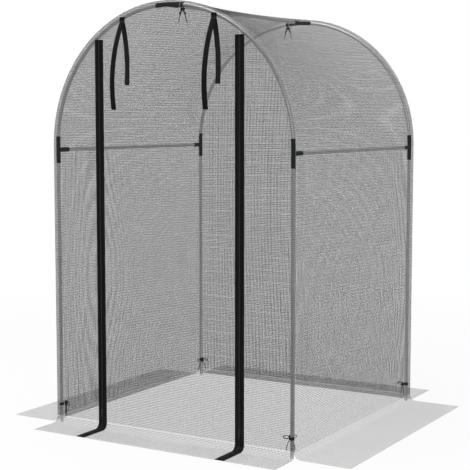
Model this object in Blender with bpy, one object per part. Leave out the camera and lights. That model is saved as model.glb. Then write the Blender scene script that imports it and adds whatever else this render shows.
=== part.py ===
"""Fruit cage: a hooped tube frame, a net cover with a zipped door flap, and ground skirts.

World axes: +Z is up, the door faces -Y, and X runs across the two hoops.
The origin lies on the ground in the middle of the cage's foot, skirts included. All sizes are in metres.
"""

import math

import bmesh
import bpy
from mathutils import Matrix, Vector
from mathutils.geometry import delaunay_2d_cdt

# Hoops, braces and ridge
HOOP_WIDTH = 1.200
FRAME_DEPTH = 1.200
LEG_HEIGHT = 1.271
TUBE_DIAMETER = 0.016
TUBE_WALL = 0.0008

# Tee connectors that join the tubes
SIDE_TEE_DROP = 0.019
SLEEVE_WALL = 0.0017
SLEEVE_LENGTH = 0.120
BRANCH_LENGTH = 0.070
STOP_THICKNESS = 0.008
MOUTH_CHAMFER = 0.0006
TUBE_FIT = 0.0003

# Net cover and its ground skirts
NET_THICKNESS = 0.0012
NET_HEM = 0.020
NET_STRAND = 0.010
NET_GAP_PITCH = 0.170
SKIRT_WIDTH = 0.260
FRONT_SKIRT_WIDTH = 0.166
FACE_GAP = 0.0003

# Door flap and its two zips
DOOR_WIDTH = 0.714
ZIP_TOP_DROP = 0.0145
ZIP_BEND_RADIUS = 0.030
ZIP_SPLIT = 0.0006
TAPE_WIDTH = 0.0225
TAPE_THICKNESS = 0.0010
TEETH_WIDTH = 0.0030
TEETH_THICKNESS = 0.0015

# Zip sliders and pulls
SLIDER_HEIGHT = 0.085
SLIDER_LENGTH = 0.016
SLIDER_WALL = 0.0012
BAIL_WIDTH = 0.0020
BAIL_BAR = 0.0010
BAIL_SPAN = 0.0080
BAIL_OPENING = 0.0022
PULL_WIDTH = 0.0080
PULL_LENGTH = 0.028
PULL_THICKNESS = 0.0012
PULL_SLOT_WIDTH = 0.0034
PULL_SLOT_LENGTH = 0.0074

# Straps that hold the rolled door
STRAP_OFFSET = 0.232
STRAP_WIDTH = 0.025
STRAP_THICKNESS = 0.0015
STRAP_CLEARANCE = 0.003
OUTER_STRAP_LENGTH = 0.377
OUTER_STRAP_BULGE = 0.075
INNER_STRAP_LENGTH = 0.270
INNER_STRAP_BULGE = 0.033
STRAP_BULGE_PLACE = 0.72

# Laces that tie the cover to the tubes
LACE_DIAMETER = 0.0030
TIE_WRAP_WIDTH = 0.012
TIE_WRAP_THICKNESS = 0.0013
TIE_HEIGHT = 0.085
TIE_STANDOFF = 0.006
KNOT_RADIUS = 0.0060
LEG_BOW_LENGTH = 0.032
LEG_BOW_WIDTH = 0.012
LEG_BOW_TILT = math.radians(65)
APEX_BOW_LENGTH = 0.027
APEX_BOW_WIDTH = 0.010
APEX_BOW_TILT = math.radians(38)
BOW_OPEN_ANGLE = math.radians(34)
TAIL_LENGTH = 0.055
TAIL_SPREAD = 0.019

# Facets and cuts
TUBE_SIDES = 12
LACE_SIDES = 6
ARCH_STEPS = 10
BEND_STEPS = 5
STRAP_STEPS = 7
BOW_STEPS = 8
TAIL_STEPS = 3
GAP_STEPS = 3
KNOT_SEGMENTS = 8
KNOT_RINGS = 6
SHARP_ANGLE = math.radians(35)
CUT_PAST = 0.0034
WELD_DISTANCE = 1e-7

# Sizes that follow from the ones above
ARCH_RADIUS = HOOP_WIDTH / 2
ARCH_LENGTH = math.pi * ARCH_RADIUS
HOOP_LENGTH = 2 * LEG_HEIGHT + ARCH_LENGTH
APEX_PLACE = HOOP_LENGTH / 2
APEX_HEIGHT = LEG_HEIGHT + ARCH_RADIUS
SIDE_TEE_HEIGHT = LEG_HEIGHT - SIDE_TEE_DROP
TUBE_RADIUS = TUBE_DIAMETER / 2
BORE_RADIUS = TUBE_RADIUS + TUBE_FIT
SLEEVE_RADIUS = BORE_RADIUS + SLEEVE_WALL
FRAME_Y = FRAME_DEPTH / 2
FLAT_SHARE = math.cos(math.pi / TUBE_SIDES)
NET_OFFSET = SLEEVE_RADIUS * FLAT_SHARE + FACE_GAP
COVER_RADIUS = ARCH_RADIUS + NET_OFFSET + NET_THICKNESS
COVER_IN_Y = FRAME_Y + NET_OFFSET
COVER_OUT_Y = COVER_IN_Y + NET_THICKNESS
NET_FOOT = NET_THICKNESS + FACE_GAP
ZIP_X = DOOR_WIDTH / 2
TAPE_BACK = FACE_GAP
TAPE_FRONT = TAPE_BACK + TAPE_THICKNESS
TEETH_BACK = TAPE_FRONT + FACE_GAP
TEETH_FRONT = TEETH_BACK + TEETH_THICKNESS
HINGE_Y = -(COVER_IN_Y + NET_THICKNESS / 2)
HINGE_CLEARANCE = NET_THICKNESS / 2 + FACE_GAP
ROOF_MIDDLE_Y = (FRONT_SKIRT_WIDTH - SKIRT_WIDTH) / 2

UP = Vector((0, 0, 1))
LEFT_RIGHT = (("left", -1), ("right", 1))
FRONT_BACK = (("front", -1), ("back", 1))


def clear_scene():
    """Remove every object that is already in the scene."""
    for obj in list(bpy.data.objects):
        bpy.data.objects.remove(obj, do_unlink=True)


def make_finish(name, colour, roughness, metallic):
    """Make a plain Principled material."""
    material = bpy.data.materials.new(name)
    material.use_nodes = True
    shader = material.node_tree.nodes["Principled BSDF"]
    shader.inputs["Base Color"].default_value = (*colour, 1.0)
    shader.inputs["Roughness"].default_value = roughness
    shader.inputs["Metallic"].default_value = metallic
    material.diffuse_color = (*colour, 1.0)
    return material


def steel():
    """Grey steel of the tubes."""
    return make_finish("steel", (0.40, 0.41, 0.42), 0.35, 1.0)


def connector_plastic():
    """Dark green-black plastic of the tees."""
    return make_finish("connector_plastic", (0.012, 0.022, 0.020), 0.50, 0.0)


def netting():
    """Grey net of the cover and skirts."""
    return make_finish("netting", (0.36, 0.36, 0.37), 0.85, 0.0)


def zip_fabric():
    """Black woven tape of the zips."""
    return make_finish("zip_fabric", (0.010, 0.010, 0.011), 0.85, 0.0)


def zip_plastic():
    """Black plastic of the zip teeth."""
    return make_finish("zip_plastic", (0.014, 0.014, 0.015), 0.45, 0.0)


def slider_metal():
    """Black painted metal of the sliders and pulls."""
    return make_finish("slider_metal", (0.020, 0.021, 0.022), 0.40, 1.0)


def webbing():
    """Black webbing of the straps."""
    return make_finish("webbing", (0.012, 0.012, 0.013), 0.90, 0.0)


def lace():
    """Black lace of the ties."""
    return make_finish("lace", (0.008, 0.008, 0.009), 0.80, 0.0)


def new_object(name, mesh_builder, material, smooth=False):
    """Turn a finished bmesh into a named object with one material."""
    bmesh.ops.recalc_face_normals(mesh_builder, faces=mesh_builder.faces[:])
    mesh = bpy.data.meshes.new(name)
    mesh_builder.to_mesh(mesh)
    mesh_builder.free()
    if smooth:
        mesh.shade_smooth()
        mesh.set_sharp_from_angle(angle=SHARP_ANGLE)
    mesh.materials.append(material)
    obj = bpy.data.objects.new(name, mesh)
    bpy.context.scene.collection.objects.link(obj)
    return obj


def set_origin(obj, point):
    """Put an object's origin on a world point and leave its shape where it is."""
    obj.data.transform(Matrix.Translation(-point))
    obj.location = point


def loft(rings, closed=False):
    """Skin a row of rings; an open row gets an end face at each end."""
    builder = bmesh.new()
    rows = [[builder.verts.new(point) for point in corners] for corners in rings]
    sides = len(rows[0])
    following = rows[1:] + rows[:1] if closed else rows[1:]
    for row, after in zip(rows, following):
        for i in range(sides):
            j = (i + 1) % sides
            builder.faces.new((row[i], row[j], after[j], after[i]))
    if not closed:
        builder.faces.new(rows[0])
        builder.faces.new(rows[-1])
    return builder


def ring(centre, across, along_side, radius, sides=TUBE_SIDES):
    """Corners of one round cross-section, with a flat facing each axis."""
    corners = []
    for i in range(sides):
        angle = (i + 0.5) * 2 * math.pi / sides
        corners.append(centre + across * (radius * math.cos(angle)) + along_side * (radius * math.sin(angle)))
    return corners


def hoop_frame(place):
    """Centre and outward direction of the hoop's axis at a distance from its left foot."""
    if place <= LEG_HEIGHT:
        return Vector((-ARCH_RADIUS, 0, place)), Vector((-1, 0, 0))
    if place >= LEG_HEIGHT + ARCH_LENGTH:
        return Vector((ARCH_RADIUS, 0, HOOP_LENGTH - place)), Vector((1, 0, 0))
    angle = (place - LEG_HEIGHT) / ARCH_RADIUS
    outward = Vector((-math.cos(angle), 0, math.sin(angle)))
    return UP * LEG_HEIGHT + outward * ARCH_RADIUS, outward


def hoop_stations():
    """Distances from the left foot at which every hooped piece has a cross-section."""
    mouth = SLEEVE_LENGTH / 2
    stop = STOP_THICKNESS / 2
    tee = [SIDE_TEE_HEIGHT + step for step in (-mouth, -stop, stop, mouth)]
    bend_start = max(LEG_HEIGHT, tee[-1])
    bend_end = APEX_PLACE - mouth
    bends = [bend_start + (bend_end - bend_start) * i / ARCH_STEPS for i in range(ARCH_STEPS + 1)]
    half = sorted({0.0, LEG_HEIGHT, *tee, *bends, APEX_PLACE - stop})
    return half + [HOOP_LENGTH - place for place in reversed(half)]


STATIONS = hoop_stations()


def weighted_stations(place):
    """The two stations around a distance from the left foot, each with its weight there."""
    low = max(station for station in STATIONS if station <= place)
    high = min(station for station in STATIONS if station >= place)
    share = (place - low) / (high - low) if high > low else 0.0
    return (low, 1 - share), (high, share)


def hoop_ring(place, radius, y):
    """Cross-section of a hooped piece, on the straight run between its two stations."""
    corners = []
    for station, weight in weighted_stations(place):
        centre, outward = hoop_frame(station)
        points = ring(centre + Vector((0, y, 0)), outward, Vector((0, 1, 0)), radius)
        corners.append([point * weight for point in points])
    return [a + b for a, b in zip(*corners)]


def hoop_centre(place, y):
    """Point on a hoop's axis."""
    corners = hoop_ring(place, TUBE_RADIUS, y)
    return sum(corners, Vector()) / len(corners)


def hoop_places(start, end):
    """A start, the stations that lie between it and an end, and that end."""
    return [start] + [station for station in STATIONS if start < station < end] + [end]


def hooped_tube(name, start, end, y, material):
    """Hollow tube along a stretch of a hoop."""
    places = hoop_places(start, end)
    outer = [hoop_ring(place, TUBE_RADIUS, y) for place in places]
    inner = [hoop_ring(place, TUBE_RADIUS - TUBE_WALL, y) for place in reversed(places)]
    return new_object(name, loft(outer + inner, closed=True), material, smooth=True)


def hooped_bar(name, start, end, radius, y, material, chamfer=0.0):
    """Solid bar along a stretch of a hoop, with its end edges cut back."""
    places = hoop_places(start, end)
    rings = [hoop_ring(place, radius, y) for place in places]
    if chamfer:
        low = [hoop_ring(start, radius - chamfer, y), hoop_ring(start + chamfer, radius, y)]
        high = [hoop_ring(end - chamfer, radius, y), hoop_ring(end, radius - chamfer, y)]
        rings = low + rings[1:-1] + high
    return new_object(name, loft(rings), material, smooth=True)


def straight_bar(name, x, z, y_start, y_end, radius, material, chamfer=0.0):
    """Solid round bar along Y, with the edge at its far end cut back."""
    rows = [(y_start, radius), (y_end, radius)]
    if chamfer:
        step = math.copysign(chamfer, y_end - y_start)
        rows = [(y_start, radius), (y_end - step, radius), (y_end, radius - chamfer)]
    rings = [ring(Vector((x, y, z)), Vector((1, 0, 0)), UP, size) for y, size in rows]
    return new_object(name, loft(rings), material, smooth=True)


def straight_tube(name, x, z, y_start, y_end, material):
    """Hollow round tube along Y."""
    rows = [(y_start, TUBE_RADIUS), (y_end, TUBE_RADIUS)]
    rows += [(y, size - TUBE_WALL) for y, size in reversed(rows)]
    rings = [ring(Vector((x, y, z)), Vector((1, 0, 0)), UP, size) for y, size in rows]
    return new_object(name, loft(rings, closed=True), material, smooth=True)


def combine(base, others, operation):
    """Join others to a base object, or cut them from it, and remove them."""
    for other in others:
        modifier = base.modifiers.new(other.name, "BOOLEAN")
        modifier.operation = operation
        modifier.solver = "EXACT"
        modifier.object = other
    bpy.context.view_layer.update()
    graph = bpy.context.evaluated_depsgraph_get()
    mesh = bpy.data.meshes.new_from_object(base.evaluated_get(graph))
    base.modifiers.clear()
    base.data = mesh
    mesh.name = base.name
    for other in others:
        bpy.data.objects.remove(other, do_unlink=True)
    return base


def tee(name, place, frame_y, material):
    """Tee connector: a sleeve along the hoop with a branch that points into the cage."""
    inward = -math.copysign(1, frame_y)
    centre = hoop_centre(place, frame_y)
    start = place - SLEEVE_LENGTH / 2
    end = place + SLEEVE_LENGTH / 2
    body = hooped_bar(name, start, end, SLEEVE_RADIUS, frame_y, material, MOUTH_CHAMFER)
    mouth_y = frame_y + inward * BRANCH_LENGTH
    branch = straight_bar("branch", centre.x, centre.z, frame_y, mouth_y, SLEEVE_RADIUS, material, MOUTH_CHAMFER)
    combine(body, [branch], "UNION")
    stop = STOP_THICKNESS / 2
    low_bore = hooped_bar("low_bore", start - CUT_PAST, place - stop, BORE_RADIUS, frame_y, material)
    high_bore = hooped_bar("high_bore", place + stop, end + CUT_PAST, BORE_RADIUS, frame_y, material)
    seat_y = frame_y + inward * SLEEVE_RADIUS
    past_mouth_y = mouth_y + inward * CUT_PAST
    side_bore = straight_bar("side_bore", centre.x, centre.z, seat_y, past_mouth_y, BORE_RADIUS, material)
    return combine(body, [low_bore, high_bore, side_bore], "DIFFERENCE")


def build_frame():
    """Two hoops, the braces and ridge between them, and the tees that join them."""
    grey = steel()
    dark = connector_plastic()
    stop = STOP_THICKNESS / 2 + FACE_GAP
    for row, side_y in FRONT_BACK:
        y = side_y * FRAME_Y
        left_tee = SIDE_TEE_HEIGHT
        right_tee = HOOP_LENGTH - SIDE_TEE_HEIGHT
        hooped_tube(f"leg_{row}_left", 0.0, left_tee - stop, y, grey)
        hooped_tube(f"leg_{row}_right", right_tee + stop, HOOP_LENGTH, y, grey)
        hooped_tube(f"arch_tube_{row}_left", left_tee + stop, APEX_PLACE - stop, y, grey)
        hooped_tube(f"arch_tube_{row}_right", APEX_PLACE + stop, right_tee - stop, y, grey)
        tee(f"side_tee_{row}_left", left_tee, y, dark)
        tee(f"side_tee_{row}_right", right_tee, y, dark)
        tee(f"apex_tee_{row}", APEX_PLACE, y, dark)
    reach = FRAME_Y - SLEEVE_RADIUS - FACE_GAP
    for side, side_x in LEFT_RIGHT:
        straight_tube(f"brace_tube_{side}", side_x * ARCH_RADIUS, SIDE_TEE_HEIGHT, -reach, reach, grey)
    straight_tube("ridge_tube", 0.0, APEX_HEIGHT, -reach, reach, grey)


def rectangle(u_low, u_high, v_low, v_high):
    """Corners of an upright rectangle, anticlockwise."""
    return [(u_low, v_low), (u_high, v_low), (u_high, v_high), (u_low, v_high)]


def in_gap(point, gap):
    """Whether a point lies inside a convex gap whose corners run anticlockwise."""
    for i in range(len(gap)):
        start = Vector(gap[i - 1])
        if (Vector(gap[i]) - start).cross(point - start) <= 0:
            return False
    return True


def fill_outline(outline, gaps):
    """Triangles that fill an outline and leave its gaps open."""
    points = []
    edges = []
    for loop in [outline, *gaps]:
        first = len(points)
        points += [Vector(corner) for corner in loop]
        edges += [(first + i, first + (i + 1) % len(loop)) for i in range(len(loop))]
    filled = delaunay_2d_cdt(points, edges, [], 1, WELD_DISTANCE)
    corners = filled[0]
    triangles = []
    for face in filled[2]:
        middle = sum((corners[i] for i in face), Vector((0, 0))) / len(face)
        if not any(in_gap(middle, gap) for gap in gaps):
            triangles.append(face)
    return corners, triangles


def plate(low_points, high_points, faces):
    """Closed plate between two matching sets of points, walled along the free edges of its faces."""
    builder = bmesh.new()
    low = [builder.verts.new(point) for point in low_points]
    high = [builder.verts.new(point) for point in high_points]
    directed = set()
    for face in faces:
        builder.faces.new([low[i] for i in reversed(face)])
        builder.faces.new([high[i] for i in face])
        directed.update((face[i - 1], face[i]) for i in range(len(face)))
    for start, end in directed:
        if (end, start) not in directed:
            builder.faces.new((low[start], low[end], high[end], high[start]))
    loose = [vertex for vertex in builder.verts if not vertex.link_faces]
    bmesh.ops.delete(builder, geom=loose, context="VERTS")
    return builder


def slab(outline, thickness, place, gaps=()):
    """Plate with an outline and its gaps, thickened along local +Z and placed by a matrix."""
    corners, faces = fill_outline(outline, gaps)
    low = [place @ Vector((u, v, 0)) for u, v in corners]
    high = [place @ Vector((u, v, thickness)) for u, v in corners]
    return plate(low, high, faces)


def upright(y):
    """Placement that stands a plate in the XZ plane, with its back at y and its thickness towards -Y."""
    return Matrix(((1, 0, 0, 0), (0, 0, -1, y), (0, 1, 0, 0), (0, 0, 0, 1)))


def sideways(x):
    """Placement that stands a plate in the YZ plane, with its thickness towards +X."""
    return Matrix(((0, 0, 1, x), (1, 0, 0, 0), (0, 1, 0, 0), (0, 0, 0, 1)))


def cover_edge(start_x, end_x):
    """Points of the cover's arched edge between two X positions, from left to right."""
    arch = []
    for station in STATIONS:
        if LEG_HEIGHT <= station <= LEG_HEIGHT + ARCH_LENGTH:
            outward = hoop_frame(station)[1]
            arch.append((outward.x * COVER_RADIUS, LEG_HEIGHT + outward.z * COVER_RADIUS))
    middle = [point for point in arch if start_x < point[0] < end_x]
    return [(start_x, cover_height(start_x, arch))] + middle + [(end_x, cover_height(end_x, arch))]


def cover_height(x, arch=None):
    """Height of the cover's arched edge at an X position."""
    arch = arch or cover_edge(-COVER_RADIUS, COVER_RADIUS)
    for (x_low, z_low), (x_high, z_high) in zip(arch, arch[1:]):
        if x_low <= x <= x_high:
            return z_low + (z_high - z_low) * (x - x_low) / (x_high - x_low)
    return LEG_HEIGHT


def door_hinge_height():
    """Height of the door's upper edge, a little under the arch at the zips' outer edges."""
    return cover_height(ZIP_X + TAPE_WIDTH) - ZIP_TOP_DROP


def net_gaps(u_low, u_high, v_low, v_high):
    """Even grid of gaps inside a hemmed panel."""
    columns = max(1, round((u_high - u_low) / NET_GAP_PITCH))
    rows = max(1, round((v_high - v_low) / NET_GAP_PITCH))
    width = (u_high - u_low - 2 * NET_HEM + NET_STRAND) / columns
    height = (v_high - v_low - 2 * NET_HEM + NET_STRAND) / rows
    gaps = []
    for column in range(columns):
        for row in range(rows):
            u = u_low + NET_HEM + column * width
            v = v_low + NET_HEM + row * height
            gaps.append(rectangle(u, u + width - NET_STRAND, v, v + height - NET_STRAND))
    return gaps


def arched_gaps(gaps):
    """Gaps of a panel in a hoop's plane, trimmed to lie a hem's width inside its arched edge."""
    radius = COVER_RADIUS - NET_HEM
    trimmed = []
    for gap in gaps:
        (x_low, z_low), (x_high, z_high) = gap[0], gap[2]
        least_rise = max(z_low + NET_STRAND - LEG_HEIGHT, 0.0)
        if least_rise >= radius:
            continue
        reach = math.sqrt(radius ** 2 - least_rise ** 2)
        x_low = max(x_low, -reach)
        x_high = min(x_high, reach)
        if x_high - x_low < NET_STRAND:
            continue
        top = []
        for i in range(GAP_STEPS + 1):
            x = x_high + (x_low - x_high) * i / GAP_STEPS
            top.append((x, LEG_HEIGHT + math.sqrt(max(radius ** 2 - x ** 2, 0.0))))
        if min(z for x, z in top) >= z_high:
            trimmed.append(rectangle(x_low, x_high, z_low, z_high))
        else:
            trimmed.append([(x_low, z_low), (x_high, z_low)] + [(x, min(z, z_high)) for x, z in top])
    return trimmed


def roof_point(place, radius, y):
    """Point over the hoop's axis, on the straight run between its two stations."""
    corners = [hoop_frame(station)[1] * (radius * weight) for station, weight in weighted_stations(place)]
    return Vector((0, y, LEG_HEIGHT)) + sum(corners, Vector())


def near_station(place):
    """The station that a distance from the left foot nearly falls on, or else the distance."""
    nearest = min(STATIONS, key=lambda station: abs(station - place))
    return nearest if abs(nearest - place) < NET_STRAND / 4 else place


def roof(reach):
    """Curved plate over both hoops with an even grid of gaps."""
    stations = [station for station in STATIONS if LEG_HEIGHT <= station <= LEG_HEIGHT + ARCH_LENGTH]
    gaps = net_gaps(stations[0], stations[-1], -reach, reach)
    places = sorted({near_station(place) for gap in gaps for place, y in gap}.union(stations))
    depths = sorted({y for gap in gaps for place, y in gap} | {-reach, reach})
    faces = []
    for i in range(len(places) - 1):
        for j in range(len(depths) - 1):
            middle = Vector((places[i] + places[i + 1], depths[j] + depths[j + 1])) / 2
            if not any(in_gap(middle, gap) for gap in gaps):
                corner = i * len(depths) + j
                faces.append((corner, corner + len(depths), corner + len(depths) + 1, corner + 1))
    inner = [roof_point(place, COVER_RADIUS - NET_THICKNESS, y) for place in places for y in depths]
    outer = [roof_point(place, COVER_RADIUS, y) for place in places for y in depths]
    return plate(inner, outer, faces)


def build_walls(net):
    """Side walls, back wall and curved roof of the cover."""
    reach = COVER_IN_Y - FACE_GAP
    top = LEG_HEIGHT - FACE_GAP
    outline = rectangle(-reach, reach, NET_FOOT, top)
    gaps = net_gaps(-reach, reach, NET_FOOT, top)
    new_object("net_wall_left", slab(outline, NET_THICKNESS, sideways(-COVER_RADIUS), gaps), net)
    new_object("net_wall_right", slab(outline, NET_THICKNESS, sideways(COVER_RADIUS - NET_THICKNESS), gaps), net)

    foot = [(COVER_RADIUS, NET_FOOT), (-COVER_RADIUS, NET_FOOT)]
    outline = foot + cover_edge(-COVER_RADIUS, COVER_RADIUS)
    gaps = arched_gaps(net_gaps(-COVER_RADIUS, COVER_RADIUS, NET_FOOT, LEG_HEIGHT + COVER_RADIUS))
    new_object("net_wall_back", slab(outline, NET_THICKNESS, upright(COVER_OUT_Y), gaps), net)
    new_object("net_roof", roof(reach), net, smooth=True)


def build_front(net):
    """Fixed panels of the front, beside and above the door."""
    hinge = door_hinge_height()
    edge = ZIP_X + ZIP_SPLIT / 2
    for side, side_x in LEFT_RIGHT:
        low_x, high_x = sorted((side_x * COVER_RADIUS, side_x * edge))
        outline = [(high_x, NET_FOOT), (low_x, NET_FOOT)] + cover_edge(low_x, high_x)
        gaps = arched_gaps(net_gaps(low_x, high_x, NET_FOOT, cover_height(edge)))
        new_object(f"net_front_{side}", slab(outline, NET_THICKNESS, upright(-COVER_IN_Y), gaps), net)
    half = ZIP_X - ZIP_SPLIT / 2
    base = hinge + FACE_GAP
    outline = [(half, base), (-half, base)] + cover_edge(-half, half)
    gaps = []
    for low_x, high_x in ((-half, -STRAP_OFFSET), (-STRAP_OFFSET, STRAP_OFFSET), (STRAP_OFFSET, half)):
        gaps += arched_gaps(net_gaps(low_x, high_x, base, LEG_HEIGHT + COVER_RADIUS))
    new_object("net_front_top", slab(outline, NET_THICKNESS, upright(-COVER_IN_Y), gaps), net)


def box(low, high):
    """Closed box between two opposite corners."""
    builder = bmesh.new()
    size = Vector(high) - Vector(low)
    middle = (Vector(high) + Vector(low)) / 2
    placement = Matrix.Translation(middle) @ Matrix.Diagonal((*size, 1))
    bmesh.ops.create_cube(builder, size=1.0, matrix=placement)
    return builder


def build_skirts(net):
    """Skirts that lie on the ground around the cage, cut by the zips at the front."""
    inner_x = COVER_RADIUS - NET_THICKNESS
    outer_x = COVER_RADIUS + SKIRT_WIDTH
    inner_y = COVER_IN_Y
    back_y = COVER_OUT_Y + SKIRT_WIDTH
    front_y = -COVER_OUT_Y - FRONT_SKIRT_WIDTH
    reach = COVER_IN_Y - FACE_GAP
    top = NET_THICKNESS
    new_object("skirt_left", box((-outer_x, -reach, 0), (-inner_x, reach, top)), net)
    new_object("skirt_right", box((inner_x, -reach, 0), (outer_x, reach, top)), net)
    new_object("skirt_back", box((-inner_x, inner_y, 0), (inner_x, back_y, top)), net)
    edge = ZIP_X + ZIP_SPLIT / 2
    new_object("skirt_front_left", box((-inner_x, front_y, 0), (-edge, -inner_y, top)), net)
    new_object("skirt_front_right", box((edge, front_y, 0), (inner_x, -inner_y, top)), net)


def build_door(net):
    """Door flap with its piece of skirt, on a parent at the flap's upper edge."""
    hinge = door_hinge_height()
    pivot = bpy.data.objects.new("door_pivot", None)
    pivot.location = (0, HINGE_Y, hinge)
    bpy.context.scene.collection.objects.link(pivot)
    half = ZIP_X - ZIP_SPLIT / 2
    top = hinge - HINGE_CLEARANCE
    outline = rectangle(-half, half, NET_FOOT, top)
    gaps = net_gaps(-half, half, NET_FOOT, top)
    flap = new_object("door_net", slab(outline, NET_THICKNESS, upright(-COVER_IN_Y), gaps), net)
    outer_y = COVER_OUT_Y + FRONT_SKIRT_WIDTH
    skirt = new_object("door_skirt", box((-half, -outer_y, 0), (half, -COVER_IN_Y, NET_THICKNESS)), net)
    for piece in (flap, skirt):
        follow(piece, pivot)
    return pivot


def follow(piece, pivot):
    """Parent a piece to a pivot and keep it where it is."""
    piece.parent = pivot
    piece.location -= pivot.location


def zip_path(depth, top):
    """Line down the front of the net, round the bend and out over the skirt, as (y, z) points."""
    centre_y = -COVER_OUT_Y - ZIP_BEND_RADIUS
    centre_z = NET_THICKNESS + ZIP_BEND_RADIUS
    radius = ZIP_BEND_RADIUS - depth
    path = [(-COVER_OUT_Y - depth, top)]
    for i in range(BEND_STEPS + 1):
        angle = i * math.pi / 2 / BEND_STEPS
        path.append((centre_y + radius * math.cos(angle), centre_z - radius * math.sin(angle)))
    path.append((-COVER_OUT_Y - FRONT_SKIRT_WIDTH, NET_THICKNESS + depth))
    return path


def zip_strip(name, x_start, x_end, back, front, material):
    """Strip that follows the zip's path, between two X positions and two depths."""
    top = door_hinge_height() - HINGE_CLEARANCE
    rings = []
    for (y_back, z_back), (y_front, z_front) in zip(zip_path(back, top), zip_path(front, top)):
        low = [Vector((x_start, y_back, z_back)), Vector((x_start, y_front, z_front))]
        high = [Vector((x_end, y_front, z_front)), Vector((x_end, y_back, z_back))]
        rings.append(low + high)
    return new_object(name, loft(rings), material)


def zip_slider(name, zip_x, pivot, material):
    """Slider that straddles the teeth, with the bail that holds its pull."""
    inner = TEETH_WIDTH + FACE_GAP
    outer = inner + SLIDER_WALL
    foot = TEETH_BACK
    roof = TEETH_FRONT + FACE_GAP
    face = roof + SLIDER_WALL
    low_z = SLIDER_HEIGHT - SLIDER_LENGTH / 2
    channel = [(-outer, foot), (-inner, foot), (-inner, roof), (inner, roof), (inner, foot), (outer, foot),
               (outer, face), (-outer, face)]
    place = Matrix(((1, 0, 0, zip_x), (0, -1, 0, -COVER_OUT_Y), (0, 0, 1, low_z), (0, 0, 0, 1)))
    slider = new_object(name, slab(channel, SLIDER_LENGTH, place), material)

    crown = face + BAIL_OPENING + BAIL_BAR
    half = BAIL_SPAN / 2
    loop = [(face - BAIL_BAR / 2, -half), (crown, -half), (crown, half), (face - BAIL_BAR / 2, half),
            (face - BAIL_BAR / 2, half - BAIL_BAR), (crown - BAIL_BAR, half - BAIL_BAR),
            (crown - BAIL_BAR, BAIL_BAR - half), (face - BAIL_BAR / 2, BAIL_BAR - half)]
    start_x = zip_x - BAIL_WIDTH / 2
    place = Matrix(((0, 0, 1, start_x), (-1, 0, 0, -COVER_OUT_Y), (0, 1, 0, SLIDER_HEIGHT), (0, 0, 0, 1)))
    bail = new_object("bail", slab(loop, BAIL_WIDTH, place), material)
    combine(slider, [bail], "UNION")
    set_origin(slider, Vector((zip_x, -COVER_OUT_Y, SLIDER_HEIGHT)))
    follow(slider, pivot)
    return face + BAIL_OPENING / 2


def zip_pull(name, zip_x, depth, pivot, material):
    """Pull tab that hangs on the slider's bail by the bar above its slot."""
    half = PULL_WIDTH / 2
    bar = PULL_THICKNESS / 2
    outline = rectangle(-half, half, -PULL_LENGTH, bar)
    slot = rectangle(-PULL_SLOT_WIDTH / 2, PULL_SLOT_WIDTH / 2, -bar - PULL_SLOT_LENGTH, -bar)
    axis = Vector((zip_x, -COVER_OUT_Y - depth, SLIDER_HEIGHT))
    place = Matrix.Translation(axis) @ upright(bar)
    pull = new_object(name, slab(outline, PULL_THICKNESS, place, [slot]), material)
    set_origin(pull, axis)
    follow(pull, pivot)


def build_zips(pivot):
    """Both zips: tape and teeth on the fixed net and on the door, slider and pull."""
    tape = zip_fabric()
    plastic = zip_plastic()
    metal = slider_metal()
    inner = ZIP_SPLIT / 2
    for side, side_x in LEFT_RIGHT:
        zip_x = side_x * ZIP_X
        for owner, outward in (("zip", side_x), ("door", -side_x)):
            start = zip_x + outward * inner
            tape_end = zip_x + outward * TAPE_WIDTH
            teeth_end = zip_x + outward * TEETH_WIDTH
            strip = zip_strip(f"{owner}_tape_{side}", start, tape_end, TAPE_BACK, TAPE_FRONT, tape)
            teeth = zip_strip(f"{owner}_teeth_{side}", start, teeth_end, TEETH_BACK, TEETH_FRONT, plastic)
            if owner == "door":
                follow(strip, pivot)
                follow(teeth, pivot)
        depth = zip_slider(f"zip_slider_{side}", zip_x, pivot, metal)
        zip_pull(f"zip_pull_{side}", zip_x, depth, pivot, metal)


def strap_hinge_height():
    """Height of the straps' upper ends, just under the arch tube."""
    x = STRAP_OFFSET + STRAP_WIDTH / 2
    steepness = ARCH_RADIUS / math.sqrt(ARCH_RADIUS ** 2 - x ** 2)
    drop = (NET_OFFSET + NET_THICKNESS + TUBE_RADIUS) * steepness
    return cover_height(x) - drop - STRAP_CLEARANCE


def strap(name, x, axis_y, outward, length, bulge, material):
    """Hanging strap that bulges away from the net, with its origin on its upper edge."""
    axis = Vector((x, axis_y, strap_hinge_height()))
    centres = []
    for i in range(STRAP_STEPS + 1):
        share = i / STRAP_STEPS
        lean = bulge * (1 - (1 - share / STRAP_BULGE_PLACE) ** 2)
        centres.append(axis + Vector((0, outward * lean, -share * length)))
    half = Vector((STRAP_WIDTH / 2, 0, 0))
    rings = []
    for i, centre in enumerate(centres):
        before = centres[max(i - 1, 0)]
        after = centres[min(i + 1, STRAP_STEPS)]
        normal = (after - before).cross(half).normalized() * (STRAP_THICKNESS / 2)
        rings.append([centre - half - normal, centre + half - normal, centre + half + normal,
                      centre - half + normal])
    piece = new_object(name, loft(rings), material)
    set_origin(piece, axis)


def build_straps():
    """Two pairs of straps, one of each pair outside the net and one inside."""
    black = webbing()
    off = FACE_GAP + STRAP_THICKNESS / 2
    for side, side_x in LEFT_RIGHT:
        x = side_x * STRAP_OFFSET
        strap(f"strap_outer_{side}", x, -COVER_OUT_Y - off, -1, OUTER_STRAP_LENGTH, OUTER_STRAP_BULGE, black)
        strap(f"strap_inner_{side}", x, -COVER_IN_Y + off, 1, INNER_STRAP_LENGTH, INNER_STRAP_BULGE, black)


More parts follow.
